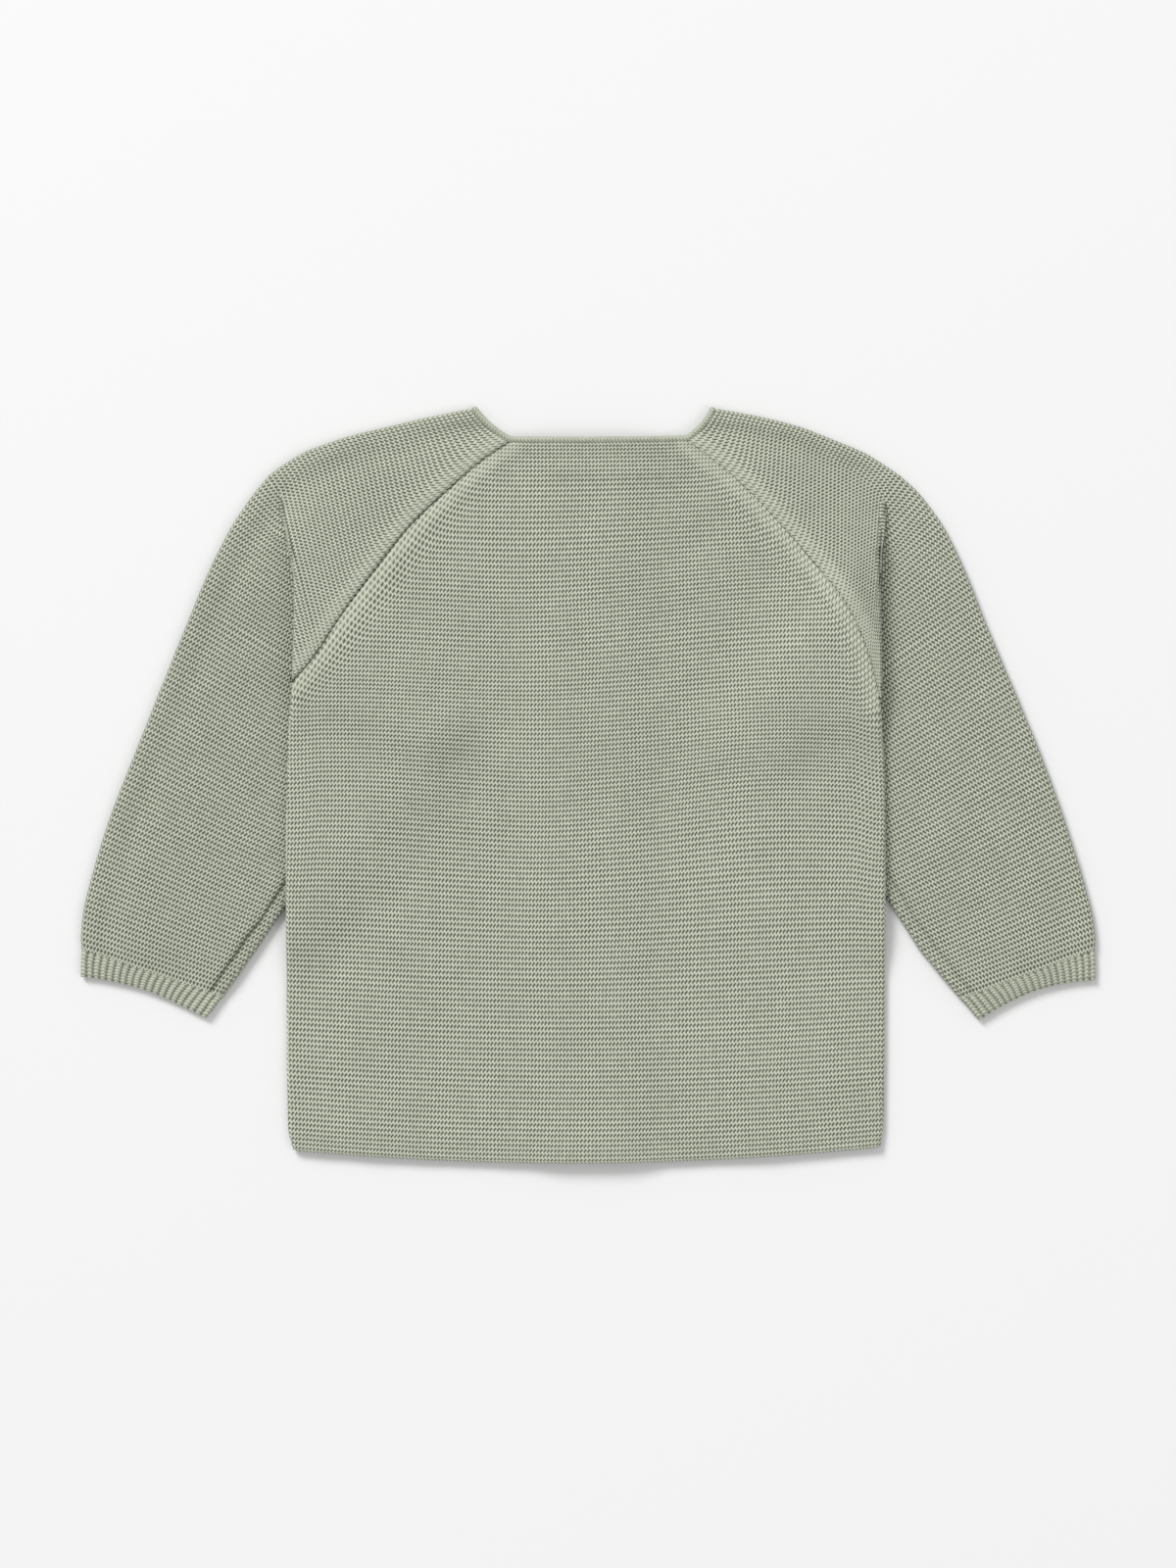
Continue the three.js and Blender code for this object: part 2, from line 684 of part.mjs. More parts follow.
// The narrow edge round the neck, one strip from one front edge to the other.
function makeNeckEdge() {
  const stations = SIDES.flatMap((side, k) => {
    const track = neckTrack(side, k === 0);
    const placed = track.map((station, i) => {
      const before = track[Math.max(i - 1, 0)].p;
      const after = track[Math.min(i + 1, track.length - 1)].p;
      const length = apart(before, after);
      const run =
        length > TURN_STEP
          ? { out: (after.out - before.out) / length, y: (after.y - before.y) / length }
          : station.away;
      const normal = { out: -run.y, y: run.out };
      const towards = normal.out * -station.p.out + normal.y * (NECK_TOP - station.p.y);
      const facing = Math.sign(towards);
      return { ...station, normal: { out: facing * normal.out, y: facing * normal.y }, sign: side.sign };
    });
    return k === 0 ? placed : placed.reverse().slice(1);
  });
  const outer = [];
  const inner = [];
  for (const { p, outer: high, inner: low, away, far, near, normal, sign } of stations)
    for (const share of [0, 0.5, 1]) {
      const width = SEAM + NECK_BAND * share;
      const curl = (share === 0.5 ? 0 : NECK_ROLL) * Math.sign(high - low) * (far ? 0 : 1);
      const at = (radius, z) => [
        sign * (p.out + normal.out * width + away.out * radius),
        p.y + normal.y * width + away.y * radius,
        z,
      ];
      outer.push(at(far, high - curl));
      inner.push(at(near, low));
    }
  return wall("neck_edge", YARN, outer, inner, gridCells(3, stations.length));
}

// A rib cuff: a flattened ring with ribs raised on its outer face and a plain inner face.
function makeCuff(side) {
  const arm = armShape(side);
  const cuffEdge = through(side.cuff);
  const armEnd = (u) => arm(u, 1);
  const down = (u, v) => {
    const from = armEnd(u);
    const to = cuffEdge(u);
    return mix(from, to, lerp(SEAM / apart(from, to), 1, v));
  };
  const outer = [];
  const inner = [];
  const perSide = CUFF_RIBS * RIB_PROFILE.length;
  const columns = Array.from({ length: perSide }, (_, k) => {
    const share = (k + 0.5) / perSide;
    return { share, top: true, crest: RIB_PROFILE[k % RIB_PROFILE.length] };
  });
  const around = [...columns, ...columns.map((c) => ({ ...c, share: 1 - c.share, top: false }))];
  for (const v of [0, 1]) {
    const width = apart(down(0, v), down(1, v));
    for (const { share, top, crest } of around) {
      const edge = Math.min(share, 1 - share) * width;
      const p = down(share, v);
      const roll = rolled(edge + 0.2);
      const sign = top ? 1 : -1;
      const far = (TUBE / 2) * roll - RIB_DEPTH * (1 - crest) * roll;
      const near = (AIR / 2) * roll;
      outer.push([side.sign * p.out, p.y, TUBE / 2 + sign * far]);
      inner.push([side.sign * p.out, p.y, TUBE / 2 + sign * near]);
    }
  }
  const count = around.length;
  const cells = gridCells(count + 1, 2, (i, j) => j * count + (i % count));
  return wall(`cuff_${side.name}`, RIB_YARN, outer, inner, cells);
}

const cardigan = new THREE.Group();
cardigan.name = "baby_cardigan";
cardigan.add(makeBack());
cardigan.add(makeFront(SIDES[0], true));
cardigan.add(makeFront(SIDES[1], false));
cardigan.add(makeNeckEdge());
for (const side of SIDES) cardigan.add(makeSleeve(side), makePleat(side), makeCuff(side));

export default cardigan;
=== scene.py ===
"""A baby cardigan in garter stitch, laid flat on its front, built as knitted shells on its CAD frame."""

import math

import bpy
import numpy as np
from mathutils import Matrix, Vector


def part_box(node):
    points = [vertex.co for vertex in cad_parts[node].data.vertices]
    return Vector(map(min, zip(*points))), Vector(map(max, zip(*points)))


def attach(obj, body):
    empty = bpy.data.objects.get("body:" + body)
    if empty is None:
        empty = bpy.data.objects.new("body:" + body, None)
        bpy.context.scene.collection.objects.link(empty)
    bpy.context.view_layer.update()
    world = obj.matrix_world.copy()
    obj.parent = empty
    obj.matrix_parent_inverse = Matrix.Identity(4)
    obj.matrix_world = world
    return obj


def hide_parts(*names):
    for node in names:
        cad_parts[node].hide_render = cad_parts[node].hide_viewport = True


bl_info = {
    "name": "Baby cardigan",
    "version": (1, 0, 0),
    "blender": (4, 5, 0),
    "location": "View3D > Sidebar > Cardigan",
    "description": "Builds a garter-stitch baby cardigan laid flat on its front",
    "category": "Add Mesh",
}

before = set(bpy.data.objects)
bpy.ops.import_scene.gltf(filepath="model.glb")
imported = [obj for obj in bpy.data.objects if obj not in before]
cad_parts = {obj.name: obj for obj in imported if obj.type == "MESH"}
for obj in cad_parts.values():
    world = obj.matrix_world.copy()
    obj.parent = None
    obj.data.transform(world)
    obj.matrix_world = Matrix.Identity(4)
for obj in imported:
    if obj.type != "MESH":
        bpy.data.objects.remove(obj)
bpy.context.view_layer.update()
MM = 0.001
BODY = "root"

# Cloth and layers in millimetres, as in the frame. A sleeve is a tube: two cloths and the air between.
# The arm and the pleat lift what lies on them, level to a margin round them and then down over a spread.
CLOTH = 1.8
AIR = 0.7
TUBE = 2 * CLOTH + AIR
FOLD_R = TUBE / 2
UNDER = 0.25
LAP = 22.0
LAP_SPREAD = 24.0
ARM_LIFT = TUBE + 0.5
PLEAT_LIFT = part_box("back")[1][2] / MM - TUBE - ARM_LIFT
LIFT_MARGIN = 6.0
ARM_SPREAD = 32.0
PLEAT_SPREAD = 24.0
START_SPREAD = 17.0
EDGE_SPREAD = 20.0
ARM_SAG = 1.4

# Cut of the pieces in millimetres
BACK_LENGTH = 320.0
BACK_WIDTH = 268.6
FRONT_LENGTH = 318.0
HEM_DIP = 6.5
NECK_DIP = 0.5
NECK_HOLLOW = 1.2
FRONT_NECK_Y = 108.0
FRONT_HEM_RISE = 1.5
SEAM_IN = 6.6
PLEAT_INSET = 5.0
PLEAT_KNIT = (1.63, 2.33)

# Bend of the knit rows beside a raglan in millimetres: on the body within a reach, and on the cap
RAGLAN_RISE = 7.0
RAGLAN_REACH = 12.0
CAP_RISE = 4.0

# Share of the cap's end at which its crease starts, and of the raglan at which its two parts meet
CREASE_SHARE = 0.887
CAP_MEET = 0.87

# Grid rows to a ridge, ridges and ribs of each piece, and the height of the hem's edge ridge as a share
ROWS = 4
FRONT_ROWS = 3
CAP_RIDGES = 44
CORNER_RIDGES = 8
ARM_RIDGES = 92
CUFF_RIBS = 20
HEM_EDGE = 0.55

# Close columns of a sleeve's grid, in millimetres from its start, and the arcs of its folds in degrees
RAGLAN_COLUMNS = (0, 0.3, 0.8, 1.5, 2.6, 4.2)
SEAM_COLUMNS = (FOLD_R, 4, 5.4, 6.2, SEAM_IN, 7, 7.8, 9.4)
OUTER_ARC = (68, 45, 22, 0, -22, -45, -68)
INNER_ARC = (-60, -30, 0, 30, 60)

# Sway of the valleys in ridges, each knit's level from 0 for the painted shade in the gaps to 1 for the lit
# yarn, and its gloss
SWAY = 0.16
TONE = {"knit": 0.62, "rib": 0.47, "edge": 0.5}
GLOSS = {"Roughness": 0.92, "Specular IOR Level": 0.2, "Sheen Weight": 0.15, "Sheen Roughness": 0.6}


def rows(*values):
    """A short table as an array, one row for each point or fold."""
    return np.array(values, float)


# Each side in plan as (out, y) in millimetres, out being the distance from the centre line. raglan runs
# from the neck to the underarm, crease from its start to the underarm, side from the underarm to the
# hem, fold and outer along the sleeve's outer edge, hidden along its underarm edge below the body.
# underarm is the share of the panel's side below the underarm. seam_line and furrow are how dark and deep
# the seams are, and the last is painted shade: how much darker the arm's yarn is painted, for the shade that
# the arm lies in below the body.
LEFT = {
    "name": "left",
    "sign": -1,
    "underarm": 0.63,
    "raglan": rows(
        (35.5, 153.5), (48, 145), (63, 132), (79.5, 116.5), (95.5, 96.5), (111, 75), (123.5, 56),
        (132.5, 46),
    ),
    "crease": rows((138.5, 131), (135.5, 118), (132.5, 104), (132, 75), (132.9, 45.7)),
    "side": rows((132.5, 46), (134.5, 18), (135.3, -14), (135.3, -100), (134.6, -155), (132.5, -164.5)),
    "fold": rows(
        (53, 168.6), (71, 165), (90, 160.6), (108.5, 156), (126.5, 149.6), (136, 144.2), (143.5, 138.6)
    ),
    "outer": rows(
        (143.5, 138.6), (149.5, 131.5), (154, 125.4), (161, 114.4), (170, 96.8), (181, 70.4),
        (202.2, 17.6), (215.8, -17.6), (226, -52.8), (227.9, -68), (227.6, -74.5),
    ),
    "hidden": rows((74.6, 26.4), (105, -14.5), (136, -55.5), (148.9, -74.8), (164, -96)),
    "cuff": rows((171.6, -105.2), (186.3, -97.9), (200.4, -92.2), (218, -88), (228.3, -86.6)),
    "seam_line": 1.0,
    "arm_shade": 0.1,
    "furrow": 0.9,
}
RIGHT = {
    "name": "right",
    "sign": 1,
    "underarm": 0.6,
    "raglan": rows(
        (45, 154), (55, 146.5), (66.5, 137), (77.5, 126.5), (97, 104.7), (114.5, 82.7), (124, 63), (131, 38)
    ),
    "crease": rows((133, 128), (131.5, 115), (130.5, 101), (130.8, 70), (131.4, 37.7)),
    "side": rows((131, 38), (133, 9), (133.3, -20), (133.3, -100), (132.6, -155), (131.5, -163)),
    "fold": rows(
        (58, 168.6), (77.5, 165), (95, 160.6), (107, 156), (122.5, 149.6), (132, 144.2), (140.5, 138.3)
    ),
    "outer": rows(
        (140.5, 138.3), (148, 131.5), (153, 125.4), (160.4, 114.4), (169, 96.8), (179.5, 70.4),
        (201.7, 17.6), (214.5, -17.6), (225.2, -52.8), (227.9, -68), (227.8, -74.5),
    ),
    "hidden": rows((78, 21), (105, -13.5), (134.5, -52), (148.9, -74.8), (167.5, -97)),
    "cuff": rows((175.8, -106.2), (186.8, -99.4), (200.9, -93), (216, -89.3), (228.3, -88.2)),
    "seam_line": 0.2,
    "arm_shade": 0.06,
    "furrow": 0.35,
}
SIDES = (LEFT, RIGHT)

# Share of the hidden edge (second) at which the arm row ends that starts at that share of the outer one.
ARM_ROW_ENDS = rows(
    (0, 0), (0.05, 0.05), (0.1, 0.117), (0.213, 0.347), (0.3, 0.463), (0.4, 0.533), (0.58, 0.674),
    (0.75, 0.81), (0.9, 0.925), (1, 1),
)

# Soft folds pressed into the laid cloth: from x, y to x, y in millimetres, half width and height.
FOLDS = rows(
    (-88, 158, -46, 160.5, 3.5, -0.9),
    (56, 160, 90, 155, 3.5, -0.9),
    (90, 155, 126, 141, 3.5, -0.8),
    (-17, 140.5, 40, 139.5, 3.0, 0.9),
    (-60, 137, -30, 128, 6.0, 0.5),
    (60, 128, 38, 118, 6.0, 0.5),
    (-120, 36, -82, 6, 7.0, -0.7),
    (122, 30, 96, 4, 7.0, -0.6),
    (-132, -52, -96, -86, 9.0, -0.6),
    (131, -50, 100, -80, 9.0, -0.6),
    (-20, 60, -8, -60, 16.0, 0.5),
    (-128, -136, -104, -139, 8.0, -0.5),
    (60, -120, 112, -128, 10.0, 0.5),
    (-60, -60, -20, -70, 12.0, 0.4),
    (30, 20, 70, 28, 12.0, -0.4),
)

# How the body's knit rows hang: centre x, width, centre share of the height, width of it, rise in mm.
ROW_BELLS = rows(
    (82, 55, 0.48, 0.17, 7.4),
    (-100, 38, 0.48, 0.17, 2.3),
    (-22, 25, 0.48, 0.17, -1.2),
    (-30, 50, 0.77, 0.13, -3.0),
    (85, 50, 0.77, 0.13, 2.6),
)


def size_mm(name):
    """One of the sizes of the panel, in millimetres."""
    return getattr(bpy.context.scene.cardigan_sizes, name) / MM


def smooth(t):
    """0 to 1 with level ends: 3t^2 - 2t^3."""
    c = np.clip(t, 0, 1)
    return c * c * (3 - 2 * c)


def bell(distance, width):
    """1 at 0, falling off as exp(-(distance / width)^2)."""
    return np.exp(-((distance / width) ** 2))


def bead(distance):
    """Height of the soft bead that runs 5 mm beside a seam or a fold."""
    return 0.45 * bell(distance - 5, 3.5)


def lerp(a, b, t):
    """a + (b - a) t."""
    return a + (b - a) * t


def through(points):
    """A smooth curve through points: cubic pieces whose slope at each point is that of its neighbours."""
    steps = np.hypot(*np.diff(points, axis=0).T)
    knots = np.concatenate([[0], np.cumsum(steps)])
    last = len(points) - 1
    before = np.maximum(np.arange(last + 1) - 1, 0)
    after = np.minimum(np.arange(last + 1) + 1, last)
    slopes = (points[after] - points[before]) / (knots[after] - knots[before])[:, None]

    def at(t):
        w = np.clip(t, 0, 1) * knots[-1]
        i = np.clip(np.searchsorted(knots, w, side="right") - 1, 0, last - 1)
        step = steps[i][..., None]
        f = (w - knots[i])[..., None] / step
        return (
            (1 + 2 * f) * (1 - f) ** 2 * points[i]
            + f * (1 - f) ** 2 * step * slopes[i]
            + f * f * (3 - 2 * f) * points[i + 1]
            + f * f * (f - 1) * step * slopes[i + 1]
        )

    return at


def polyline(points):
    """Straight pieces through points, by length."""
    knots = np.concatenate([[0], np.cumsum(np.linalg.norm(np.diff(points, axis=0), axis=1))])
    knots /= knots[-1]
    return lambda t: np.stack([np.interp(t, knots, points[:, k]) for k in (0, 1)], -1)


def joined(first, share, second):
    """Two curves end to end: the first up to that share, the second after it."""
    return lambda t: np.where((t <= share)[..., None], first(t / share), second((t - share) / (1 - share)))


def stretch(curve, start, end):
    """The part of a curve between two shares, run from the first to the second."""
    return lambda t: curve(lerp(start, end, t))


def straight(p, q):
    """The straight line from p to q."""
    return lambda t: lerp(p, q, t[..., None])


def to_place(side, plan):
    """A side's own plan, (out, y), turned into x and y, and back."""
    return plan * np.array([side["sign"], 1])


def patch(start, end, low, high, u, v):
    """Blends four edge curves over a grid of u and v: both pairs, less the pull of the corners."""
    u, v = np.broadcast_arrays(u, v)
    a, b = u[..., None], v[..., None]
    zero, one = np.zeros(1), np.ones(1)
    corners = (1 - b) * lerp(start(zero), start(one), a) + b * lerp(end(zero), end(one), a)
    return (1 - b) * start(u) + b * end(u) + (1 - a) * low(v) + a * high(v) - corners


def outside(polygon, p):
    """Distance from each point to a polygon, 0 inside it."""
    q = np.roll(polygon, -1, axis=0)
    near = np.full(p.shape[:-1], np.inf)
    inside = np.zeros(p.shape[:-1], bool)
    for a, b in zip(polygon, q):
        along = np.clip(((p - a) @ (b - a)) / ((b - a) @ (b - a)), 0, 1)
        near = np.minimum(near, np.linalg.norm(a + along[..., None] * (b - a) - p, axis=-1))
        crosses = (a[1] > p[..., 1]) != (b[1] > p[..., 1])
        at = a[0] + (b[0] - a[0]) * (p[..., 1] - a[1]) / (b[1] - a[1] + 1e-9)
        inside ^= crosses & (p[..., 0] < at)
    return np.where(inside, 0, near)


# Places that follow from each side's lines: corners of the arm and the pleat below the body and the cap
for side in SIDES:
    crease = through(side["crease"])
    side["bend"] = crease(np.array(0.3))
    side["arm"] = np.array([side["bend"], side["hidden"][0], side["hidden"][2]])
    side["pleat"] = np.array([crease(np.array(0.42)), crease(np.array(0.98)), side["hidden"][0]])
    side["start"] = side["crease"][0]
    side["shoulder"] = side["fold"][-1]


def start_fade(side, p):
    """0 on the line from the start of the crease to the shoulder, where cap and arm are one, 1 far off."""
    return smooth(outside(np.array([side["start"], side["shoulder"]]), p) / START_SPREAD)


def armhole_lift(side, p):
    """How far the arm and the pleat below lift the cloth: level over each, then a smooth way down."""
    arm = 1 - smooth((outside(side["arm"], p) - LIFT_MARGIN) / ARM_SPREAD)
    pleat = 1 - smooth((outside(side["pleat"], p) - LIFT_MARGIN / 3) / PLEAT_SPREAD)
    return (ARM_LIFT * arm + PLEAT_LIFT * pleat) * start_fade(side, p)


def body_lift(x, y):
    """The armhole lift of the side that each place is on."""
    p = np.stack([np.abs(x), y], axis=-1)
    return np.where(x < 0, armhole_lift(LEFT, p), armhole_lift(RIGHT, p))


def lap_lift(x):
    """The bump over the lapped fronts: level over the lap, then a smooth way down."""
    return (CLOTH + AIR) * (1 - smooth((np.abs(x) - LAP / 2 - 1) / LAP_SPREAD))


def waves(x, y, size, seed):
    """Slow unevenness, mostly from -1 to 1: a sum of sine waves in seeded directions, about size apart."""
    count = 7
    draw = np.random.default_rng(seed)
    total = np.zeros(np.broadcast(x, y).shape)
    for _ in range(count):
        turn, phase = draw.uniform(0, 2 * math.pi, 2)
        pitch = size * draw.uniform(0.7, 1.6)
        total += np.sin(2 * math.pi * (x * math.cos(turn) + y * math.sin(turn)) / pitch + phase)
    return total / math.sqrt(count) * 0.7


def softness(x, y):
    """The folds, each a straight ridge or trough with a bell-shaped section, and slow unevenness."""
    p = np.stack([x, y], axis=-1)
    total = 0.35 * waves(x, y, 46, 3) + 0.18 * waves(x, y, 17, 4)
    for ax, ay, bx, by, width, height in FOLDS:
        a, d = np.array([ax, ay]), np.array([bx - ax, by - ay])
        along = np.clip(((p - a) @ d) / (d @ d), 0, 1)
        off = np.linalg.norm(p - a - along[..., None] * d, axis=-1)
        total += height * np.exp(-((off / width) ** 2) / 2)
    return total


def nearest(line, x, y):
    """Distance in plan from each place to the nearest of a line's points."""
    off = np.full(np.shape(x), np.inf)
    for p in line:
        off = np.minimum(off, np.hypot(x - p[0], y - p[1]))
    return off


def raglan_distance(side, x, y):
    """Distance to the raglan seam in plan."""
    line = to_place(side, through(side["raglan"])(np.linspace(0, 1, 160)))
    return nearest(line, x, y)


def seam_bend(off):
    """0 at a raglan seam, rising to 1 at its reach: 1 - (1 - t)^2, steepest at the seam."""
    return 1 - (1 - np.clip(off / RAGLAN_REACH, 0, 1)) ** 2


def outer_distance(side, plan):
    """Distance to the sleeve's outer edge, which is the cap's fold and then the arm's."""
    line = [through(side[key])(np.linspace(0, 1, 150)) for key in ("fold", "outer")]
    return nearest(np.concatenate(line), plan[..., 0], plan[..., 1])


def neck_side(side):
    """The neck's edge on top of a sleeve, from the raglan to the fold: a shallow hollow."""
    a, run = side["raglan"][0], side["fold"][0] - side["raglan"][0]
    way = np.array([-run[1], run[0]]) / np.linalg.norm(run)
    return lambda t: straight(a, a + run)(t) - (NECK_HOLLOW * 4 * t * (1 - t))[..., None] * way


def raglan_marks(side, x, y):
    """Height beside a raglan, a furrow in a raised band, and the band and seam marks of each place."""
    off = raglan_distance(side, x, y)
    height = bead(off) - side["furrow"] * bell(off, 0.9)
    band = 0.6 * (1 - smooth((off - 4) / 4))
    return height, np.stack([band, side["seam_line"] * bell(off, 0.45)], -1)


def normals(grid, cyclic):
    """Unit normals of a grid of points, from the differences along both of its directions."""
    if cyclic:
        across = np.roll(grid, -1, axis=1) - np.roll(grid, 1, axis=1)
    else:
        across = np.gradient(grid, axis=1)
    n = np.cross(across, np.gradient(grid, axis=0))
    return n / np.maximum(np.linalg.norm(n, axis=-1, keepdims=True), 1e-9)


def garter(ridge):
    """Height of garter stitch from 0 to 1: rounded ridges with sharp valleys at whole numbers."""
    f = ridge - np.floor(ridge)
    return np.sqrt(np.clip(1 - (2 * f - 1) ** 2, 0, 1))


def cloth(grid, uv, inner_step, marks, cyclic=False, facing=1, calm=1.0):
    """A closed shell of knit: the outer grid with garter ridges, and a plain inner face on some rows.

    uv holds the stitch and ridge numbers of each point, and marks its band and seam marks. The ridges
    stand out along the normals, lower in the band and where calm is under 1. The inner face is one cloth in.
    """
    depth = size_mm("ridge_depth")
    band = marks[..., 0]
    n = normals(grid, cyclic) * facing
    uneven = 1 + 0.16 * waves(uv[..., 0], uv[..., 1] * 1.4, 11, 5)
    knit = garter(uv[..., 1]) * uneven * (1 - 0.6 * band) + 0.45 * band
    knit = lerp(0.6, knit, calm)
    outer = grid + n * (depth * (knit - 0.75))[..., None]
    kept = np.arange(0, len(grid), inner_step)
    inner = (grid - n * (CLOTH - 0.2))[kept]
    return shell(outer, inner, uv, kept, marks, cyclic, facing)


def shell(outer, inner, uv, kept, marks, cyclic, facing):
    """Points and faces of an outer grid, an inner grid on its kept rows, and the rims between them."""
    r, c = outer.shape[:2]
    m = len(kept)
    over = lambda i, j: (i * c + j % c, i, j)
    under = lambda k, j: (r * c + k * c + j % c, kept[k], j)
    wide = c if cyclic else c - 1
    i, j = np.meshgrid(np.arange(r - 1), np.arange(wide), indexing="ij")
    k, l = np.meshgrid(np.arange(m - 1), np.arange(wide), indexing="ij")
    along = np.arange(wide)
    faces = [
        [over(i, j), over(i, j + 1), over(i + 1, j + 1), over(i + 1, j)],
        [under(k, l), under(k + 1, l), under(k + 1, l + 1), under(k, l + 1)],
        [over(0, along + 1), over(0, along), under(0, along), under(0, along + 1)],
        [over(r - 1, along), over(r - 1, along + 1), under(m - 1, along + 1), under(m - 1, along)],
    ]
    if not cyclic:
        k = np.arange(m - 1)
        for column, turn in ((0, 1), (c - 1, -1)):
            down = [over(kept[k] + t, column) for t in range(kept[1] + 1)]
            faces.append(([*down, under(k + 1, column), under(k, column)])[::turn])
    wrapped = np.concatenate([uv, 2 * uv[:, -1:] - uv[:, -2:-1]], axis=1)
    groups = []
    for corners in faces:
        index, row, column = (np.stack(np.broadcast_arrays(*part), -1) for part in zip(*corners))
        turned = (part.reshape(-1, part.shape[-1])[:, ::facing] for part in (index, row, column))
        index, row, column = turned
        groups.append((index, wrapped[row, column]))
    points = np.concatenate([outer.reshape(-1, 3), inner.reshape(-1, 3)]) * MM
    return points, groups, np.concatenate([marks.reshape(-1, 2), np.zeros((m * c, 2))])


def mesh_piece(name, shells):
    """One mesh object from shells: points, groups of faces with the uv of their corners, and marks."""
    points, loops, sizes, uvs, marks = [], [], [], [], []
    base = 0
    for shell_points, groups, shell_marks in shells:
        for faces, uv in groups:
            loops.append((faces + base).ravel())
            sizes.append(np.full(len(faces), faces.shape[1]))
            uvs.append(uv.reshape(-1, 2))
        points.append(shell_points)
        marks.append(shell_marks)
        base += len(shell_points)
    sizes, loops = np.concatenate(sizes), np.concatenate(loops)
    mesh = bpy.data.meshes.new(name)
    mesh.vertices.add(base)
    mesh.vertices.foreach_set("co", np.concatenate(points).astype(np.float32).ravel())
    mesh.loops.add(len(loops))
    mesh.loops.foreach_set("vertex_index", loops.astype(np.int32))
    mesh.polygons.add(len(sizes))
    mesh.polygons.foreach_set("loop_start", (np.cumsum(sizes) - sizes).astype(np.int32))
    mesh.polygons.foreach_set("use_smooth", np.ones(len(sizes), bool))
    mesh.update(calc_edges=True)
    mesh.uv_layers.new(name="knit").data.foreach_set("uv", np.concatenate(uvs).astype(np.float32).ravel())
    # The seam mark darkens the seams, and on the arm it also carries the arm's painted shade.
    for column, mark in enumerate(("band", "seam")):
        layer = mesh.attributes.new(mark, "FLOAT", "POINT")
        layer.data.foreach_set("value", np.concatenate(marks)[:, column].astype(np.float32))
    mesh.validate()
    piece = bpy.data.objects.new(name, mesh)
    bpy.context.collection.objects.link(piece)
    return piece


def knitted(node, shells, kind):
    """The piece that stands for one CAD node, with its yarn and body; the node itself is hidden."""
    piece = mesh_piece(f"{node}_knit", shells)
    piece.data.materials.append(yarn(kind))
    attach(piece, BODY)
    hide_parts(node)
    return piece


def tube(grid, uv, facing, band):
    """A closed tube of knit: rings of points, joined along the grid, and one flat face at each end.

    uv has one column more than the grid, for the line where the rings close. band is the mark's value.
    """
    r, c = grid.shape[:2]
    i, j = np.meshgrid(np.arange(r - 1), np.arange(c), indexing="ij")
    corners = ((i, j), (i, j + 1), (i + 1, j + 1), (i + 1, j))[::facing]
    quads = np.stack([a * c + b % c for a, b in corners], -1).reshape(-1, 4)
    quad_uv = np.stack([uv[a, b] for a, b in corners], -2).reshape(-1, 4, 2)
    ends = (np.arange(c)[None, ::-1], np.arange(c)[None] + (r - 1) * c)
    ends = [end[:, ::facing] for end in ends]
    groups = [(quads, quad_uv), *((end, uv[:, :c].reshape(-1, 2)[end]) for end in ends)]
    return grid.reshape(-1, 3) * MM, groups, np.full((r * c, 2), (band, 0.0))


def plan_area(grid):
    """Area of a grid's surface in square metres, the sum of its cells."""
    a = grid[1:, 1:] - grid[:-1, :-1]
    b = grid[1:, :-1] - grid[:-1, 1:]
    return float(np.linalg.norm(np.cross(a, b), axis=-1).sum() / 2 * MM * MM)


def rolled(distance):
    """Height of a rolled edge from 0 to 1: a quarter circle over the fold's radius."""
    return np.sqrt(np.clip(1 - (1 - np.minimum(distance / FOLD_R, 1)) ** 2, 0, 1))


def edge_shares(steps, width, start):
    """Shares of a width in even steps, and close ones where its end, and its start if told, rolls over."""
    close = FOLD_R * (1 - np.cos(np.radians([0, 30, 55, 75, 90]))) / width
    inner = np.linspace(close[-1] if start else 0, 1 - close[-1], steps + 1)
    return np.concatenate([close[:-1] if start else [], inner, 1 - close[:-1][::-1]])


def panel_side(side):
    """A panel's side from the hem to the neck, as (out, y)."""
    body, raglan = through(side["side"]), through(side["raglan"])
    return joined(stretch(body, 1, 0), side["underarm"], stretch(raglan, 1, 0))


def row_shares(ridges, per_ridge, pitch):
    """Shares of a panel's height at its rows: the hem's edge row is low, and the next few are closer."""
    height = np.full(ridges, pitch) - 0.22 * (1 - smooth(np.arange(ridges) / 9))
    height[0] *= HEM_EDGE
    knots = np.concatenate([[0], np.cumsum(height)]) / height.sum()
    return np.interp(np.arange(ridges * per_ridge + 1) / per_ridge, np.arange(ridges + 1), knots)


def panel_grid(edges, u, length, per_ridge):
    """A blend of a panel's four edges in plan, and the shares u and v and ridge number of each place."""
    pitch = size_mm("ridge_pitch")
    v = row_shares(round(length / pitch), per_ridge, pitch)[:, None]
    plan = patch(*edges, u, v)
    u, v = np.broadcast_arrays(u, v)
    return plan, u, v, np.broadcast_to((np.arange(len(v)) / per_ridge)[:, None], v.shape)


def row_rise(x, v):
    """How far the knit rows of the body rise above straight ones: a sum of bells."""
    total = np.zeros(np.shape(x))
    for centre, width, middle, reach, height in ROW_BELLS:
        total += height * bell(x - centre, width) * bell(v - middle, reach)
    return total


def body_height(x, y, v, edge, underarm, top):
    """Height of a panel's outer face: the tube, lifted, folded and rolled down at its side edges."""
    above = smooth((v - underarm + 0.004) / 0.016)
    roll = lerp(rolled(edge), 1, above)
    base = body_lift(x, y)
    if not top:
        return base + TUBE / 2 * (1 - roll)
    return base + TUBE / 2 * (1 + roll) + softness(x, y) * lerp(smooth(edge / 12), 1, above)


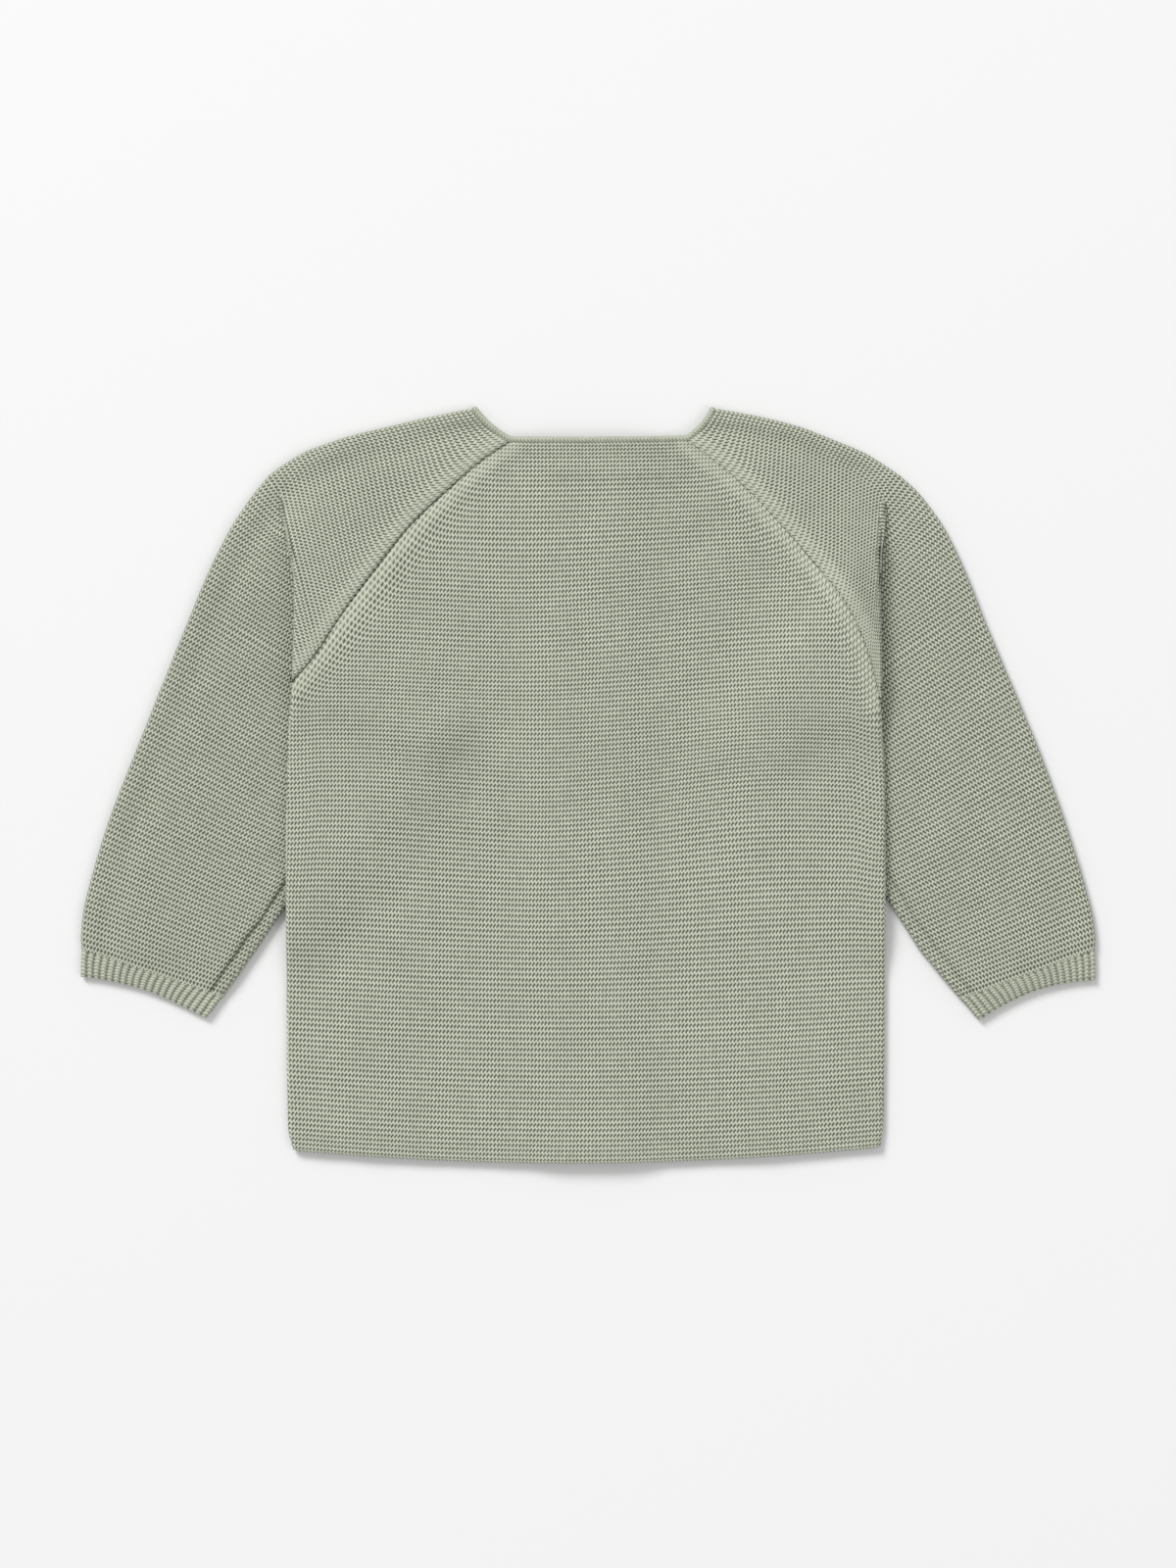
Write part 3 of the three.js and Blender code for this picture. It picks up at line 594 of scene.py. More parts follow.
def back_bend(x, y, v, edge, underarm):
    """How far the back's rows leave straight ones: up in bells, and down towards each raglan seam."""
    off = np.minimum(raglan_distance(LEFT, x, y), raglan_distance(RIGHT, x, y))
    fashioned = smooth((v - underarm + 0.22) / 0.3) * smooth((1 - v) / 0.2)
    return row_rise(x, v) * smooth(edge / 16) - RAGLAN_RISE * seam_bend(off) * fashioned


def build_back():
    """The back panel: a blend of its hem, neck and sides, with ridges along its knit rows."""
    low = lambda t: to_place(LEFT, panel_side(LEFT)(t))
    high = panel_side(RIGHT)

    def across(v, dip):
        a, b = low(np.array([v])), high(np.array([v]))
        return lambda u: lerp(a, b, u[..., None]) - np.stack([0 * u, dip * (1 - (2 * u - 1) ** 2)], -1)

    edges = (across(0.0, HEM_DIP), across(1.0, NECK_DIP), low, high)
    p, u, v, ridge = panel_grid(edges, edge_shares(104, BACK_WIDTH, True), BACK_LENGTH, ROWS)
    x = p[..., 0]
    edge = np.minimum(u, 1 - u) * BACK_WIDTH
    underarm = lerp(LEFT["underarm"], RIGHT["underarm"], smooth(u))
    y = p[..., 1] + back_bend(x, p[..., 1], v, edge, underarm)
    left, right = (raglan_marks(side, x, y) for side in SIDES)
    z = body_height(x, y, v, edge, underarm, True) + lap_lift(x) + left[0] + right[0]
    uv = np.stack([x / size_mm("stitch_pitch") + 0.4 * waves(x, y, 60, 8), ridge], -1)
    grid = np.stack([x, y, z], -1)
    inner_step = 2 * ROWS if len(grid) % (2 * ROWS) == 1 else ROWS
    knit = cloth(grid, uv, inner_step, np.maximum(left[1], right[1]))
    flat = (BACK_WIDTH * MM, BACK_LENGTH * MM + HEM_DIP * MM)
    return knitted("back", [knit], "knit"), flat, plan_area(grid)


def front_neckline(side):
    """The front neckline from the front edge to the raglan: low at the centre, steep at the raglan."""
    corner = side["raglan"][0]
    return lambda u: np.stack(
        [lerp(-LAP / 2, corner[0], u), lerp(FRONT_NECK_Y, corner[1], smooth(u) * u)], axis=-1
    )


def build_front(side, lifted):
    """A front panel, on the surface: the same sides as the back, a low neckline and a straight edge."""
    base_high = panel_side(side)

    def high(v):
        rise = FRONT_HEM_RISE * np.maximum(1 - v / side["underarm"], 0)
        return base_high(v) + np.stack([0 * v, rise], -1)

    corner = base_high(np.zeros(1))[0]

    def hem(u):
        out = lerp(-LAP / 2, corner[0], u)
        dip = HEM_DIP * (1 - (out / corner[0]) ** 2)
        return np.stack([out, corner[1] + FRONT_HEM_RISE - dip], -1)

    neckline = front_neckline(side)
    low = straight(hem(np.zeros(1))[0], neckline(np.zeros(1))[0])
    width = corner[0] + LAP / 2
    edges = (hem, neckline, low, high)
    p, u, v, ridge = panel_grid(edges, edge_shares(40, width, False), FRONT_LENGTH, FRONT_ROWS)
    x, y = p[..., 0] * side["sign"], p[..., 1]
    z = body_height(x, y, v, (1 - u) * width, side["underarm"], False) + (lap_lift(x) if lifted else 0)
    uv = np.stack([x / size_mm("stitch_pitch"), ridge], -1)
    grid = np.stack([x, y, z + UNDER], -1)
    band = 1 - smooth((raglan_distance(side, x, y) - 6) / 5)
    knit = cloth(grid, uv, FRONT_ROWS, np.stack([band, 0 * band], -1), facing=-side["sign"])
    piece = knitted(f"front_{side['name']}", [knit], "knit")
    flat = (width * MM, FRONT_LENGTH * MM)
    plan_area(grid)
    return piece


def columns(near, steps, width, end):
    """Distances across each row: close ones at its start, then even steps to end short of its width."""
    near = np.array(near, float)[None] * np.minimum(1, width / 16)[:, None]
    even = lerp(near[:, -1:], (width - end)[:, None], np.linspace(0, 1, steps + 1)[None, 1:])
    return np.concatenate([near, even], axis=1)


def raised(plan, z):
    """Points over places in plan, at the heights z."""
    return np.concatenate([plan, z[..., None]], axis=-1)


def ring(end, away, top, bottom, degrees, radius):
    """Points of a folded edge: half ellipses that reach out to end, between the heights top and bottom."""
    angle = np.radians(degrees)[None]
    centre = end - away * radius[:, None]
    plan = centre[:, None] + away[:, None] * (radius[:, None] * np.cos(angle))[..., None]
    height = ((top + bottom) / 2)[:, None] + ((top - bottom) / 2)[:, None] * np.sin(angle)
    return raised(plan, height)


def sleeve_top(side, plan, fold, base):
    """Height of a sleeve's upper face: a soft bead along the fold and a shallow trough inside it."""
    x, y = plan[..., 0] * side["sign"], plan[..., 1]
    relief = bead(fold) - 0.7 * bell(fold - 12.5, 5)
    return base + TUBE + relief + softness(x, y) * smooth(fold / 8)


def number_knit(grid, ridge, fold_column):
    """Stitch numbers from the length along each row, counted from the fold, with the ridge numbers."""
    along = np.linalg.norm(np.diff(grid, axis=1), axis=-1)
    length = np.concatenate([np.zeros((len(grid), 1)), np.cumsum(along, axis=1)], axis=1)
    stitch = (length - length[:, fold_column : fold_column + 1]) / size_mm("stitch_pitch")
    return np.stack([stitch, np.broadcast_to(ridge[:, None], stitch.shape)], -1)


def row_ends(plan_at, inward):
    """Width of each row, its end nearer to the share inward, and the way out there."""
    first, last = plan_at(np.zeros((1, 1)))[:, 0], plan_at(np.ones((1, 1)))[:, 0]
    near = plan_at(np.full((1, 1), inward))[:, 0]
    end = last if inward > 0.5 else first
    reach = np.linalg.norm(end - near, axis=-1, keepdims=True)
    return np.linalg.norm(last - first, axis=-1), end, (end - near) / reach


def cap_bottom(side, plan, from_fold, lifted_fold):
    """The cap's lower face: as its lift, but behind a lifted fold it rises from the arm's top."""
    level = UNDER + armhole_lift(side, plan) * smooth(outer_distance(side, plan) / EDGE_SPREAD)
    if lifted_fold:
        floor = np.minimum(level[:, :1], TUBE + 0.3)
        level = lerp(floor, level, smooth(from_fold / 12))
    return raised(plan, level)


def cap_shell(side, plan_at, ridge, lifted_fold, row_way=None):
    """A part of the cap: its upper face from the raglan, round its fold, and back under it.

    lifted_fold tells the crease, whose fold hangs over the arm, from the sleeve's outer fold. Where all
    rows run one way, row_way, their stitches are counted along it, and ridges run on round the fold.
    """
    width, fold, away = row_ends(plan_at, 0.93)
    wide = width[:, None]
    radius = np.minimum(FOLD_R, 0.45 * width)
    over = columns(RAGLAN_COLUMNS, 34, width, radius)
    under = columns((0, 2.6), 14, width, radius)[:, ::-1]
    plan = plan_at(over / wide)
    outer = outer_distance(side, plan)
    z = sleeve_top(side, plan, outer, armhole_lift(side, plan) * smooth(outer / EDGE_SPREAD))
    height, marks = raglan_marks(side, plan[..., 0] * side["sign"], plan[..., 1])
    top = raised(plan, z + height)
    bottom = cap_bottom(side, plan_at(under / wide), wide - under, lifted_fold)
    nose = ring(fold, away, top[:, -1, 2], bottom[:, 0, 2], OUTER_ARC, radius)
    grid = np.concatenate([top, nose, bottom], axis=1)
    grid[..., 0] *= side["sign"]
    turned = slice(over.shape[1], None)
    uv = number_knit(grid, ridge, over.shape[1] + len(OUTER_ARC) // 2)
    if row_way is not None:
        uv[..., 0] = to_place(side, grid[..., :2]) @ row_way / size_mm("stitch_pitch")
        uv[:, turned, 1] += (top[:, -1:, 2] - grid[:, turned, 2]) / size_mm("ridge_pitch")
    calm = smooth(np.abs(ridge - CAP_RIDGES) / 0.6)[:, None]
    if lifted_fold:
        to_fold = wide - np.concatenate([over, np.repeat(wide, len(OUTER_ARC), axis=1), under], axis=1)
        calm = calm * (1 - 0.9 * bell(to_fold, 5))
        calm[:, turned] *= 0.1
    marks = np.pad(marks, ((0, 0), (0, grid.shape[1] - over.shape[1]), (0, 0)))
    return cloth(grid, uv, ROWS, marks, facing=-side["sign"], calm=calm), plan_area(grid)


def build_cap(side):
    """The cap in two parts, which meet along the knit row through the start of the crease.

    Each is a blend of its four edges. The rows of the main part bend at the raglan, and those of the
    corner run evenly down the crease.
    """
    raglan, fold, crease = (through(side[key]) for key in ("raglan", "fold", "crease"))
    corner = raglan(np.array(CAP_MEET))
    meeting = straight(corner, side["start"])
    end = joined(meeting, CREASE_SHARE, straight(side["start"], side["shoulder"]))
    v = np.linspace(0, 1, CAP_RIDGES * ROWS + 1)[:, None]
    way = side["raglan"][-1] - side["raglan"][0]
    way = way / np.linalg.norm(way) * CAP_RISE

    def main_part(u):
        plan = patch(neck_side(side), end, stretch(raglan, 0, CAP_MEET), fold, u, v)
        off = raglan_distance(side, plan[..., 0] * side["sign"], plan[..., 1])
        share = seam_bend(off) * smooth(v / 0.3) * smooth((1 - v) / 0.4) * (1 - smooth(u * 1.1))
        return plan + share[..., None] * way

    w = np.linspace(0, 1, CORNER_RIDGES * ROWS + 1)[:, None]
    tip = straight(side["raglan"][-1], side["crease"][-1])
    row_way = (side["start"] - corner) / np.linalg.norm(side["start"] - corner)
    away = np.array([-row_way[1], row_way[0]])
    shares = np.linspace(0, 1, 200)
    gone = np.maximum.accumulate(np.abs((crease(shares) - side["start"]) @ away))
    even = lambda t: crease(np.interp(t, gone / gone[-1], shares))
    corner_part = lambda u: patch(meeting, tip, stretch(raglan, CAP_MEET, 1), even, u, w)
    return [
        cap_shell(side, main_part, v[:, 0] * CAP_RIDGES, False),
        cap_shell(side, corner_part, CAP_RIDGES + w[:, 0] * CORNER_RIDGES, True, row_way),
    ]


def arm_plan(side, v):
    """The arm in plan, as a function of u: a blend of its start, cuff end, hidden and outer edges."""
    hidden_start = side["start"] - [6, 3]
    under_crease = side["bend"] - [4, 0]
    edge = polyline(np.concatenate([[hidden_start, under_crease], side["hidden"]]))
    low = lambda t: edge(np.interp(t, *ARM_ROW_ENDS.T))
    start = joined(straight(hidden_start, side["start"]), 0.4, straight(side["start"], side["shoulder"]))
    end = straight(side["hidden"][-1], side["outer"][-1])
    return lambda u: patch(start, end, low, through(side["outer"]), u, v)


def arm_top(side, v, over, plan):
    """Height of the arm's upper face, gathered at the cuff and sagging by the crease, and its furrow."""
    gather = 0.5 * smooth((v - 0.975) / 0.025)
    z = sleeve_top(side, plan, outer_distance(side, plan), -gather)
    wander = 0.5 * waves(plan[..., 0], plan[..., 1], 18, 15)
    furrow = bell(over - SEAM_IN - wander, 0.6) * smooth(v / 0.3)
    z += 0.3 * bell(over - SEAM_IN - 3, 2) - 0.55 * furrow
    crease = through(side["crease"])(np.linspace(0, 1, 120))
    beside_crease = nearest(crease, plan[..., 0], plan[..., 1])
    return z - ARM_SAG * bell(beside_crease, 13) * start_fade(side, plan), furrow


def build_arm(side):
    """The arm, from the shoulder to the cuff: a flattened tube on the surface, passing under the body."""
    v = np.linspace(0, 1, ARM_RIDGES * ROWS + 1)[:, None]
    plan_at = arm_plan(side, v)
    width, outer_edge, outer_away = row_ends(plan_at, 0.93)
    inner_edge, inner_away = row_ends(plan_at, 0.07)[1:]
    radius = np.full(width.shape, FOLD_R)
    over = columns(SEAM_COLUMNS, 38, width, radius)
    under = columns([FOLD_R], 18, width, radius)[:, ::-1]
    top_plan, low_plan = plan_at(over / width[:, None]), plan_at(under / width[:, None])
    z, furrow = arm_top(side, v, over, top_plan)
    top, bottom = raised(top_plan, z), raised(low_plan, np.full(under.shape, UNDER))
    nose = ring(outer_edge, outer_away, z[:, -1], UNDER, OUTER_ARC, radius)
    inner = ring(inner_edge, inner_away, z[:, 0], UNDER, INNER_ARC, radius)
    grid = np.concatenate([top, nose, bottom, inner], axis=1)
    grid[..., 0] *= side["sign"]
    uv = number_knit(grid, v[:, 0] * ARM_RIDGES, over.shape[1] + len(OUTER_ARC) // 2)
    seam = np.pad(side["seam_line"] * furrow, ((0, 0), (0, grid.shape[1] - over.shape[1])))
    # Painted shade: the arm's yarn is darkened through the seam mark, growing in from the shoulder.
    seam = seam + side["arm_shade"] * smooth(v / 0.3)
    calm = smooth(v * ARM_RIDGES / 0.6)
    marks = np.stack([0 * seam, seam], -1)
    return cloth(grid, uv, ROWS, marks, True, -side["sign"], calm), plan_area(grid)


def build_sleeve(side):
    """One sleeve: its cap and arm as one knitted piece."""
    parts = [*build_cap(side), build_arm(side)]
    piece = knitted(f"sleeve_{side['name']}", [part for part, _ in parts], "knit")


def rounded_triangle(corners, inset, angle):
    """Middle of a triangle, and the way out and radius at each angle of one set in from it.

    Its corners are rounded: 1 / radius^6 is the sum over the edges of (facing / distance)^6.
    """
    middle = corners.mean(axis=0)
    run = np.roll(corners, -1, axis=0) - corners
    normal = np.stack([run[:, 1], -run[:, 0]], -1) / np.linalg.norm(run, axis=1)[:, None]
    normal *= np.sign(((corners - middle) * normal).sum(axis=1))[:, None]
    distance = ((corners - middle) * normal).sum(axis=1) - inset
    way = np.stack([np.cos(angle), np.sin(angle)], -1)
    facing = np.maximum(way @ normal.T, 0) / distance
    return middle, way, (facing**6).sum(axis=1) ** (-1 / 6)


def build_pleat(side):
    """The sleeve's cloth folded back under the armhole: a rounded triangle, with a half-round rim."""
    middle, way, radius = rounded_triangle(side["pleat"], PLEAT_INSET, np.linspace(0, 2 * math.pi, 97)[:-1])
    half = PLEAT_LIFT / 2 - 0.15
    flat = np.linspace(0.04, 1, 12)[:-1]
    turn = np.radians(np.linspace(-90, 90, 7))
    share = np.concatenate([flat, np.ones(len(turn)), flat[::-1]])
    rim = np.concatenate([0 * flat, np.cos(turn), 0 * flat])
    height = np.concatenate([0 * flat - 1, np.sin(turn), 0 * flat + 1])
    reach = share[:, None] * (radius - half) + half * rim[:, None]
    plan = middle + reach[..., None] * way
    level = ARM_LIFT + PLEAT_LIFT / 2 + 0 * reach + half * height[:, None]
    grid = np.stack([plan[..., 0] * side["sign"], plan[..., 1], level], -1)
    uv = grid[..., :2] / PLEAT_KNIT
    knit = tube(grid, np.concatenate([uv, uv[:, :1]], axis=1), side["sign"], 0.0)
    piece = knitted(f"pleat_{side['name']}", [knit], "knit")
    size = np.ptp(plan.reshape(-1, 2), axis=0) * MM
    area = min(plan_area(grid) / 2, float(size[0] * size[1]))


def rib_height(share, v, beside):
    """How far a cuff's face stands off its middle: ribs across it, rolled down at its edges and end."""
    rib = np.abs(np.sin(math.pi * share * CUFF_RIBS))[None] ** 0.7
    end = rolled((1.02 - v) * 14)
    swell = (0.8 + 0.12 * np.sin(math.pi * np.clip(v, 0, 1))) * end
    return rolled(beside) * (FOLD_R * swell + (rib - 0.85) * (0.6 + 0.4 * end))


def build_cuff(side):
    """A rib cuff: a flattened ring whose outer face has rounded ribs running from the arm to the edge."""
    arm_end = straight(side["hidden"][-1], side["outer"][-1])
    edge = through(side["cuff"])
    per_rib, steps = 8, 16
    share = (np.arange(CUFF_RIBS * per_rib) + 0.5) / (CUFF_RIBS * per_rib)
    v = np.linspace(-0.05, 1, steps + 1)[:, None]
    sway = 0.006 * waves(share[None] * 60, v * 9, 14, 12) * smooth(v / 0.4)
    along = np.clip(share[None] + sway, 0, 1)
    top = lerp(arm_end(along), edge(along), v[..., None])
    width = np.linalg.norm(arm_end(np.ones(1)) - arm_end(np.zeros(1)))
    up = rib_height(share, v, np.minimum(share, 1 - share)[None] * width)
    plan = np.concatenate([top, top[:, ::-1]], axis=1)
    grid = raised(plan, FOLD_R + np.concatenate([up, -up[:, ::-1]], axis=1))
    grid[..., 0] *= side["sign"]
    number = np.arange(2 * CUFF_RIBS * per_rib) / per_rib
    uv = np.stack([np.broadcast_to(v * 7, grid.shape[:2]), np.broadcast_to(number, grid.shape[:2])], -1)
    inner = grid.copy()
    inner[..., 2] = FOLD_R + (grid[..., 2] - FOLD_R) * 0.35
    kept = np.arange(0, steps + 1, 4)
    knit = shell(grid, inner[kept], uv, kept, np.zeros((*grid.shape[:2], 2)), True, -side["sign"])
    piece = knitted(f"cuff_{side['name']}", [knit], "rib")
    length = np.linalg.norm(edge(share) - arm_end(share), axis=1).max()
    area = plan_area(np.concatenate([grid, grid[:, :1]], axis=1))


def neck_half(side, lifted):
    """Half of the neck's path, from the front edge to the middle of the back, and the way out of it.

    It runs along the front neckline, back along the sleeve, round its fold, and over it to the back.
    """
    from_raglan, fold = side["raglan"][0], side["fold"][0]
    reach = np.linalg.norm(fold - from_raglan)
    away = (fold - from_raglan) / reach
    sleeve = neck_side(side)(np.linspace(0, 1 - FOLD_R / reach, 24))
    u = np.linspace(0, 1, 120)
    front = front_neckline(side)(u)
    middle = FOLD_R - CLOTH / 2
    turn = np.radians(np.linspace(-90, 90, 15))
    round_fold = fold - away * FOLD_R + away * middle * np.cos(turn)[:, None]
    left, right = LEFT["raglan"][0], RIGHT["raglan"][0]
    x = side["sign"] * from_raglan[0] * (1 - u)
    across = (x + left[0]) / (left[0] + right[0])
    neck_y = lerp(left[1], right[1], across) - NECK_DIP * (1 - (2 * across - 1) ** 2)
    back = np.stack([np.abs(x), neck_y], -1)
    plan = np.concatenate([front, sleeve, round_fold, sleeve[::-1], back])
    lap = lap_lift(side["sign"] * front[:, 0]) if lifted else 0 * u
    flat, low, high = np.zeros(len(sleeve)), CLOTH / 2, TUBE - CLOTH / 2
    parts = [low + lap, flat + low, FOLD_R + middle * np.sin(turn), flat + high, high + lap_lift(x)]
    slope = np.gradient(front, axis=0)
    front_out = np.stack([-slope[:, 1], slope[:, 0]], -1)
    sleeve_out = np.broadcast_to([-away[1], away[0]], (len(sleeve) * 2 + len(turn), 2))
    back_out = np.broadcast_to([0.0, 1.0], (len(u), 2))
    out = np.concatenate([front_out, sleeve_out, back_out])
    out = to_place(side, out / np.linalg.norm(out, axis=1)[:, None])
    place = np.stack([plan[:, 0] * side["sign"], plan[:, 1], np.concatenate(parts)], -1)
    place[-len(u) :, 0] = x
    return place, np.concatenate([out, np.zeros((len(out), 1))], 1)


def blurred(values, reach):
    """A running mean along the first axis, over both ends repeated so that it stays as long."""
    padded = np.pad(values, ((reach, reach), (0, 0)), mode="edge")
    sums = np.cumsum(np.pad(padded, ((1, 0), (0, 0))), axis=0)
    return (sums[2 * reach + 1 :] - sums[: -2 * reach - 1]) / (2 * reach + 1)


def neck_path(step):
    """The whole neck's path in even steps, and at each its direction along, out and through the cloth."""
    left, right = neck_half(LEFT, True), neck_half(RIGHT, False)
    place, out = (np.concatenate([a, b[::-1][1:]]) for a, b in zip(left, right))
    length = np.concatenate([[0], np.cumsum(np.linalg.norm(np.diff(place, axis=0), axis=1))])
    steps = np.arange(0, length[-1], step)
    resampled = lambda a: np.stack([np.interp(steps, length, a[:, k]) for k in range(3)], -1)
    place, out = blurred(resampled(place), 5), blurred(resampled(out), 9)
    along = np.gradient(place, axis=0)
    along /= np.linalg.norm(along, axis=1)[:, None]
    out -= (out * along).sum(axis=1)[:, None] * along
    out /= np.linalg.norm(out, axis=1)[:, None]
    return steps, place, out, np.cross(along, out)


def build_neck_edge():
    """The narrow edge round the neck: an oval with a bump at each stitch, carried along the neck."""
    steps, place, out, thick = neck_path(0.4)
    band, stitch = size_mm("neck_band"), size_mm("stitch_pitch")
    angle = np.linspace(0, 2 * math.pi, 17)[:-1]
    bumps = 1 + 0.07 * np.cos(2 * math.pi * steps / stitch)[:, None] * np.cos(angle)
    half_wide, half_thick = band / 2 + 0.25, CLOTH / 2
    centre = place + out * (band / 2)
    grid = (
        centre[:, None]
        + out[:, None] * (half_wide * bumps * np.cos(angle))[..., None]
        + thick[:, None] * (half_thick * bumps * np.sin(angle))[..., None]
    )
    grid[..., 2] = np.maximum(grid[..., 2], 0.02)
    uv = np.stack(np.broadcast_arrays((steps / stitch)[:, None], np.linspace(0, 3, len(angle) + 1)), -1)
    return knitted("neck_edge", [tube(grid, uv, 1, 1.0)], "edge")


class Value:
    """A shader socket with arithmetic: each operator adds its Math node."""

    def __init__(self, shader, socket):
        self.shader = shader
        self.socket = socket

    def math(self, operation, *others):
        return self.shader.math(operation, self, *others)

    def __add__(self, other):
        return self.math("ADD", other)

    def __sub__(self, other):
        return self.math("SUBTRACT", other)

    def __rsub__(self, other):
        return self.shader.math("SUBTRACT", other, self)

    def __mul__(self, other):
        return self.math("MULTIPLY", other)

    def __pow__(self, other):
        return self.math("POWER", other)

    __radd__ = __add__


class Shader:
    """Adds nodes to one material's tree."""

    def __init__(self, name):
        self.material = bpy.data.materials.new(name)
        self.material.use_nodes = True
        self.tree = self.material.node_tree
        self.surface = self.tree.nodes["Principled BSDF"]

    def feed(self, socket, value):
        if isinstance(value, Value):
            self.tree.links.new(value.socket, socket)
        else:
            socket.default_value = value

    def node(self, kind, settings=None, values=None, output=0):
        made = self.tree.nodes.new(kind)
        for key, value in (settings or {}).items():
            setattr(made, key, value)
        for key, value in (values or {}).items():
            self.feed(made.inputs[key], value)
        return Value(self, made.outputs[output])

    def settle(self, values):
        """Sets or links sockets of the surface."""
        for name, value in values.items():
            self.feed(self.surface.inputs[name], value)

    def math(self, operation, *values):
        return self.node("ShaderNodeMath", {"operation": operation}, dict(enumerate(values)))

    def noise(self, place, scale, detail=2.0):
        values = {"Vector": place, "Scale": scale, "Detail": detail}
        return self.node("ShaderNodeTexNoise", None, values, "Fac") - 0.5

    def mark(self, name):
        return self.node("ShaderNodeAttribute", {"attribute_name": name}, None, "Fac")


def stitches(shader, kind):
    """Height and gaps of the knit, 0 to 1, from the stitch and ridge numbers in the piece's own uv.

    In a garter ridge the loops, painted light, zigzag: half of them lie low and half high, half a stitch
    apart.
    The valleys between sway with them, and a gap painted with shade slants down one side of each stitch.
    """
    uv = shader.node("ShaderNodeUVMap", {"uv_map": "knit"})
    along = shader.node("ShaderNodeSeparateXYZ", None, {"Vector": uv}, "X")
    across = Value(shader, along.socket.node.outputs["Y"])
    place = shader.node("ShaderNodeTexCoord", None, None, "Object")
    turn = (along + shader.noise(place, 260.0, 1.0) * 0.3) * (2 * math.pi)
    if kind == "rib":
        ridge = (across.math("FRACT") * math.pi).math("SINE")
        loops = (turn + ridge * 2.2).math("COSINE") * 0.5 + 0.5
        return place, loops, ridge, (1 - ridge) ** 2.0 * 0.3
    loops = (across.math("FRACT") * (2 * math.pi)).math("SINE") * turn.math("COSINE") * 0.5 + 0.5
    swayed = (across + turn.math("COSINE") * SWAY).math("FRACT")
    ridge = (swayed * math.pi).math("SINE")
    gaps = (turn.math("SINE") * 0.5 + 0.5) * (1 - ridge) ** 0.7
    return place, loops, ridge, gaps


def yarn(kind):
    """The cotton yarn, made once for each kind of knit, with painted highlight on loops and ridges and
    painted shade in gaps.
    """
    name = f"yarn_{kind}"
    if name in bpy.data.materials:
        return bpy.data.materials[name]
    colours = bpy.context.scene.cardigan_colours
    shader = Shader(name)
    place, loops, ridge, gaps = stitches(shader, kind)
    band, seam = shader.mark("band"), shader.mark("seam")
    plain = 1 - band * 0.65
    fuzz = shader.noise(place, 2600.0)
    blotch = shader.noise(place, 330.0)
    slow = shader.noise(place, 22.0, 1.0)
    # Painted light and the yarn's own tone: loops and ridge crests painted lighter as painted highlight,
    # gaps painted darker as painted shade, the seam mark darkening seams and the arm's painted shade, and
    # fuzz, blotch and slow the yarn's own uneven tone.
    tone_and_painted_light = (
        TONE[kind]
        + (loops - 0.5) * 0.4 * plain
        + (ridge - 0.5) * 0.2 * plain
        - gaps * 0.9 * plain
        - seam * 0.7
        + fuzz * 0.34
        + blotch * 0.22
        + slow * 0.08
    ).math("MAXIMUM", 0.0).math("MINIMUM", 1.0)
    ends = {0: tone_and_painted_light, 6: (*colours.shade, 1), 7: (*colours.yarn, 1)}
    colour = shader.node("ShaderNodeMix", {"data_type": "RGBA"}, ends, 2)
    height = loops * ridge * plain * 0.32 - gaps * 0.3 * plain + fuzz * 0.1 + blotch * 0.1
    relief = {"Height": height, "Distance": MM, "Strength": 1.0}
    normal = shader.node("ShaderNodeBump", None, relief, "Normal")
    shader.settle({"Base Color": colour, "Normal": normal, **GLOSS})
    return shader.material


def length_setting(name, description, default):
    """A length that the user can change."""
    return bpy.props.FloatProperty(name=name, description=description, default=default, unit="LENGTH")


def colour_setting(name, description, default):
    """A colour that the user can change."""
    return bpy.props.FloatVectorProperty(
        name=name, description=description, default=default, subtype="COLOR", size=3, min=0, max=1
    )


class CardiganSizes(bpy.types.PropertyGroup):
    """Knit gauge and trim of the cardigan."""

    ridge_pitch: length_setting("Ridge pitch", "Height of one garter ridge", 0.00225)
    stitch_pitch: length_setting("Stitch pitch", "Width of one stitch", 0.00163)
    ridge_depth: length_setting("Ridge depth", "Height of a ridge over its valley", 0.00055)
    neck_band: length_setting("Neck edge", "Width of the edge round the neck", 0.0024)


class CardiganColours(bpy.types.PropertyGroup):
    """Colours of the cardigan and of the surface under it."""

    yarn: colour_setting("Yarn", "Sage green cotton where it catches the light", (0.69, 0.722, 0.585))
    # shade is painted shade: the yarn as it looks shaded deep in the gaps between stitches.
    shade: colour_setting("Gaps", "The same yarn deep in the gaps between stitches", (0.10, 0.113, 0.078))
    floor: colour_setting("Surface", "The pale surface it lies on", (0.775, 0.775, 0.775))


def area_light(name, place, size, power):
    """A square lamp at place, turned towards the middle of the garment."""
    light = bpy.data.objects.new(name, bpy.data.lights.new(name, "AREA"))
    light.data.size = size
    light.data.energy = power
    light.location = place
    away = np.array(place) / np.linalg.norm(place)
    light.rotation_euler = (math.acos(away[2]), 0, math.atan2(away[1], away[0]) + math.pi / 2)
    bpy.context.collection.objects.link(light)


def look_down(context):
    """A camera straight above, whose frame is view_height high at the top of the garment."""
    view_height, camera_height, sensor = 0.704, 2.4, 36
    camera = bpy.data.objects.new("camera", bpy.data.cameras.new("camera"))
    context.collection.objects.link(camera)
    camera.location = (0, 0, camera_height)
    camera.data.sensor_fit = "VERTICAL"
    camera.data.sensor_height = sensor
    camera.data.lens = sensor * (camera_height - TUBE * MM) / view_height
    context.scene.camera = camera


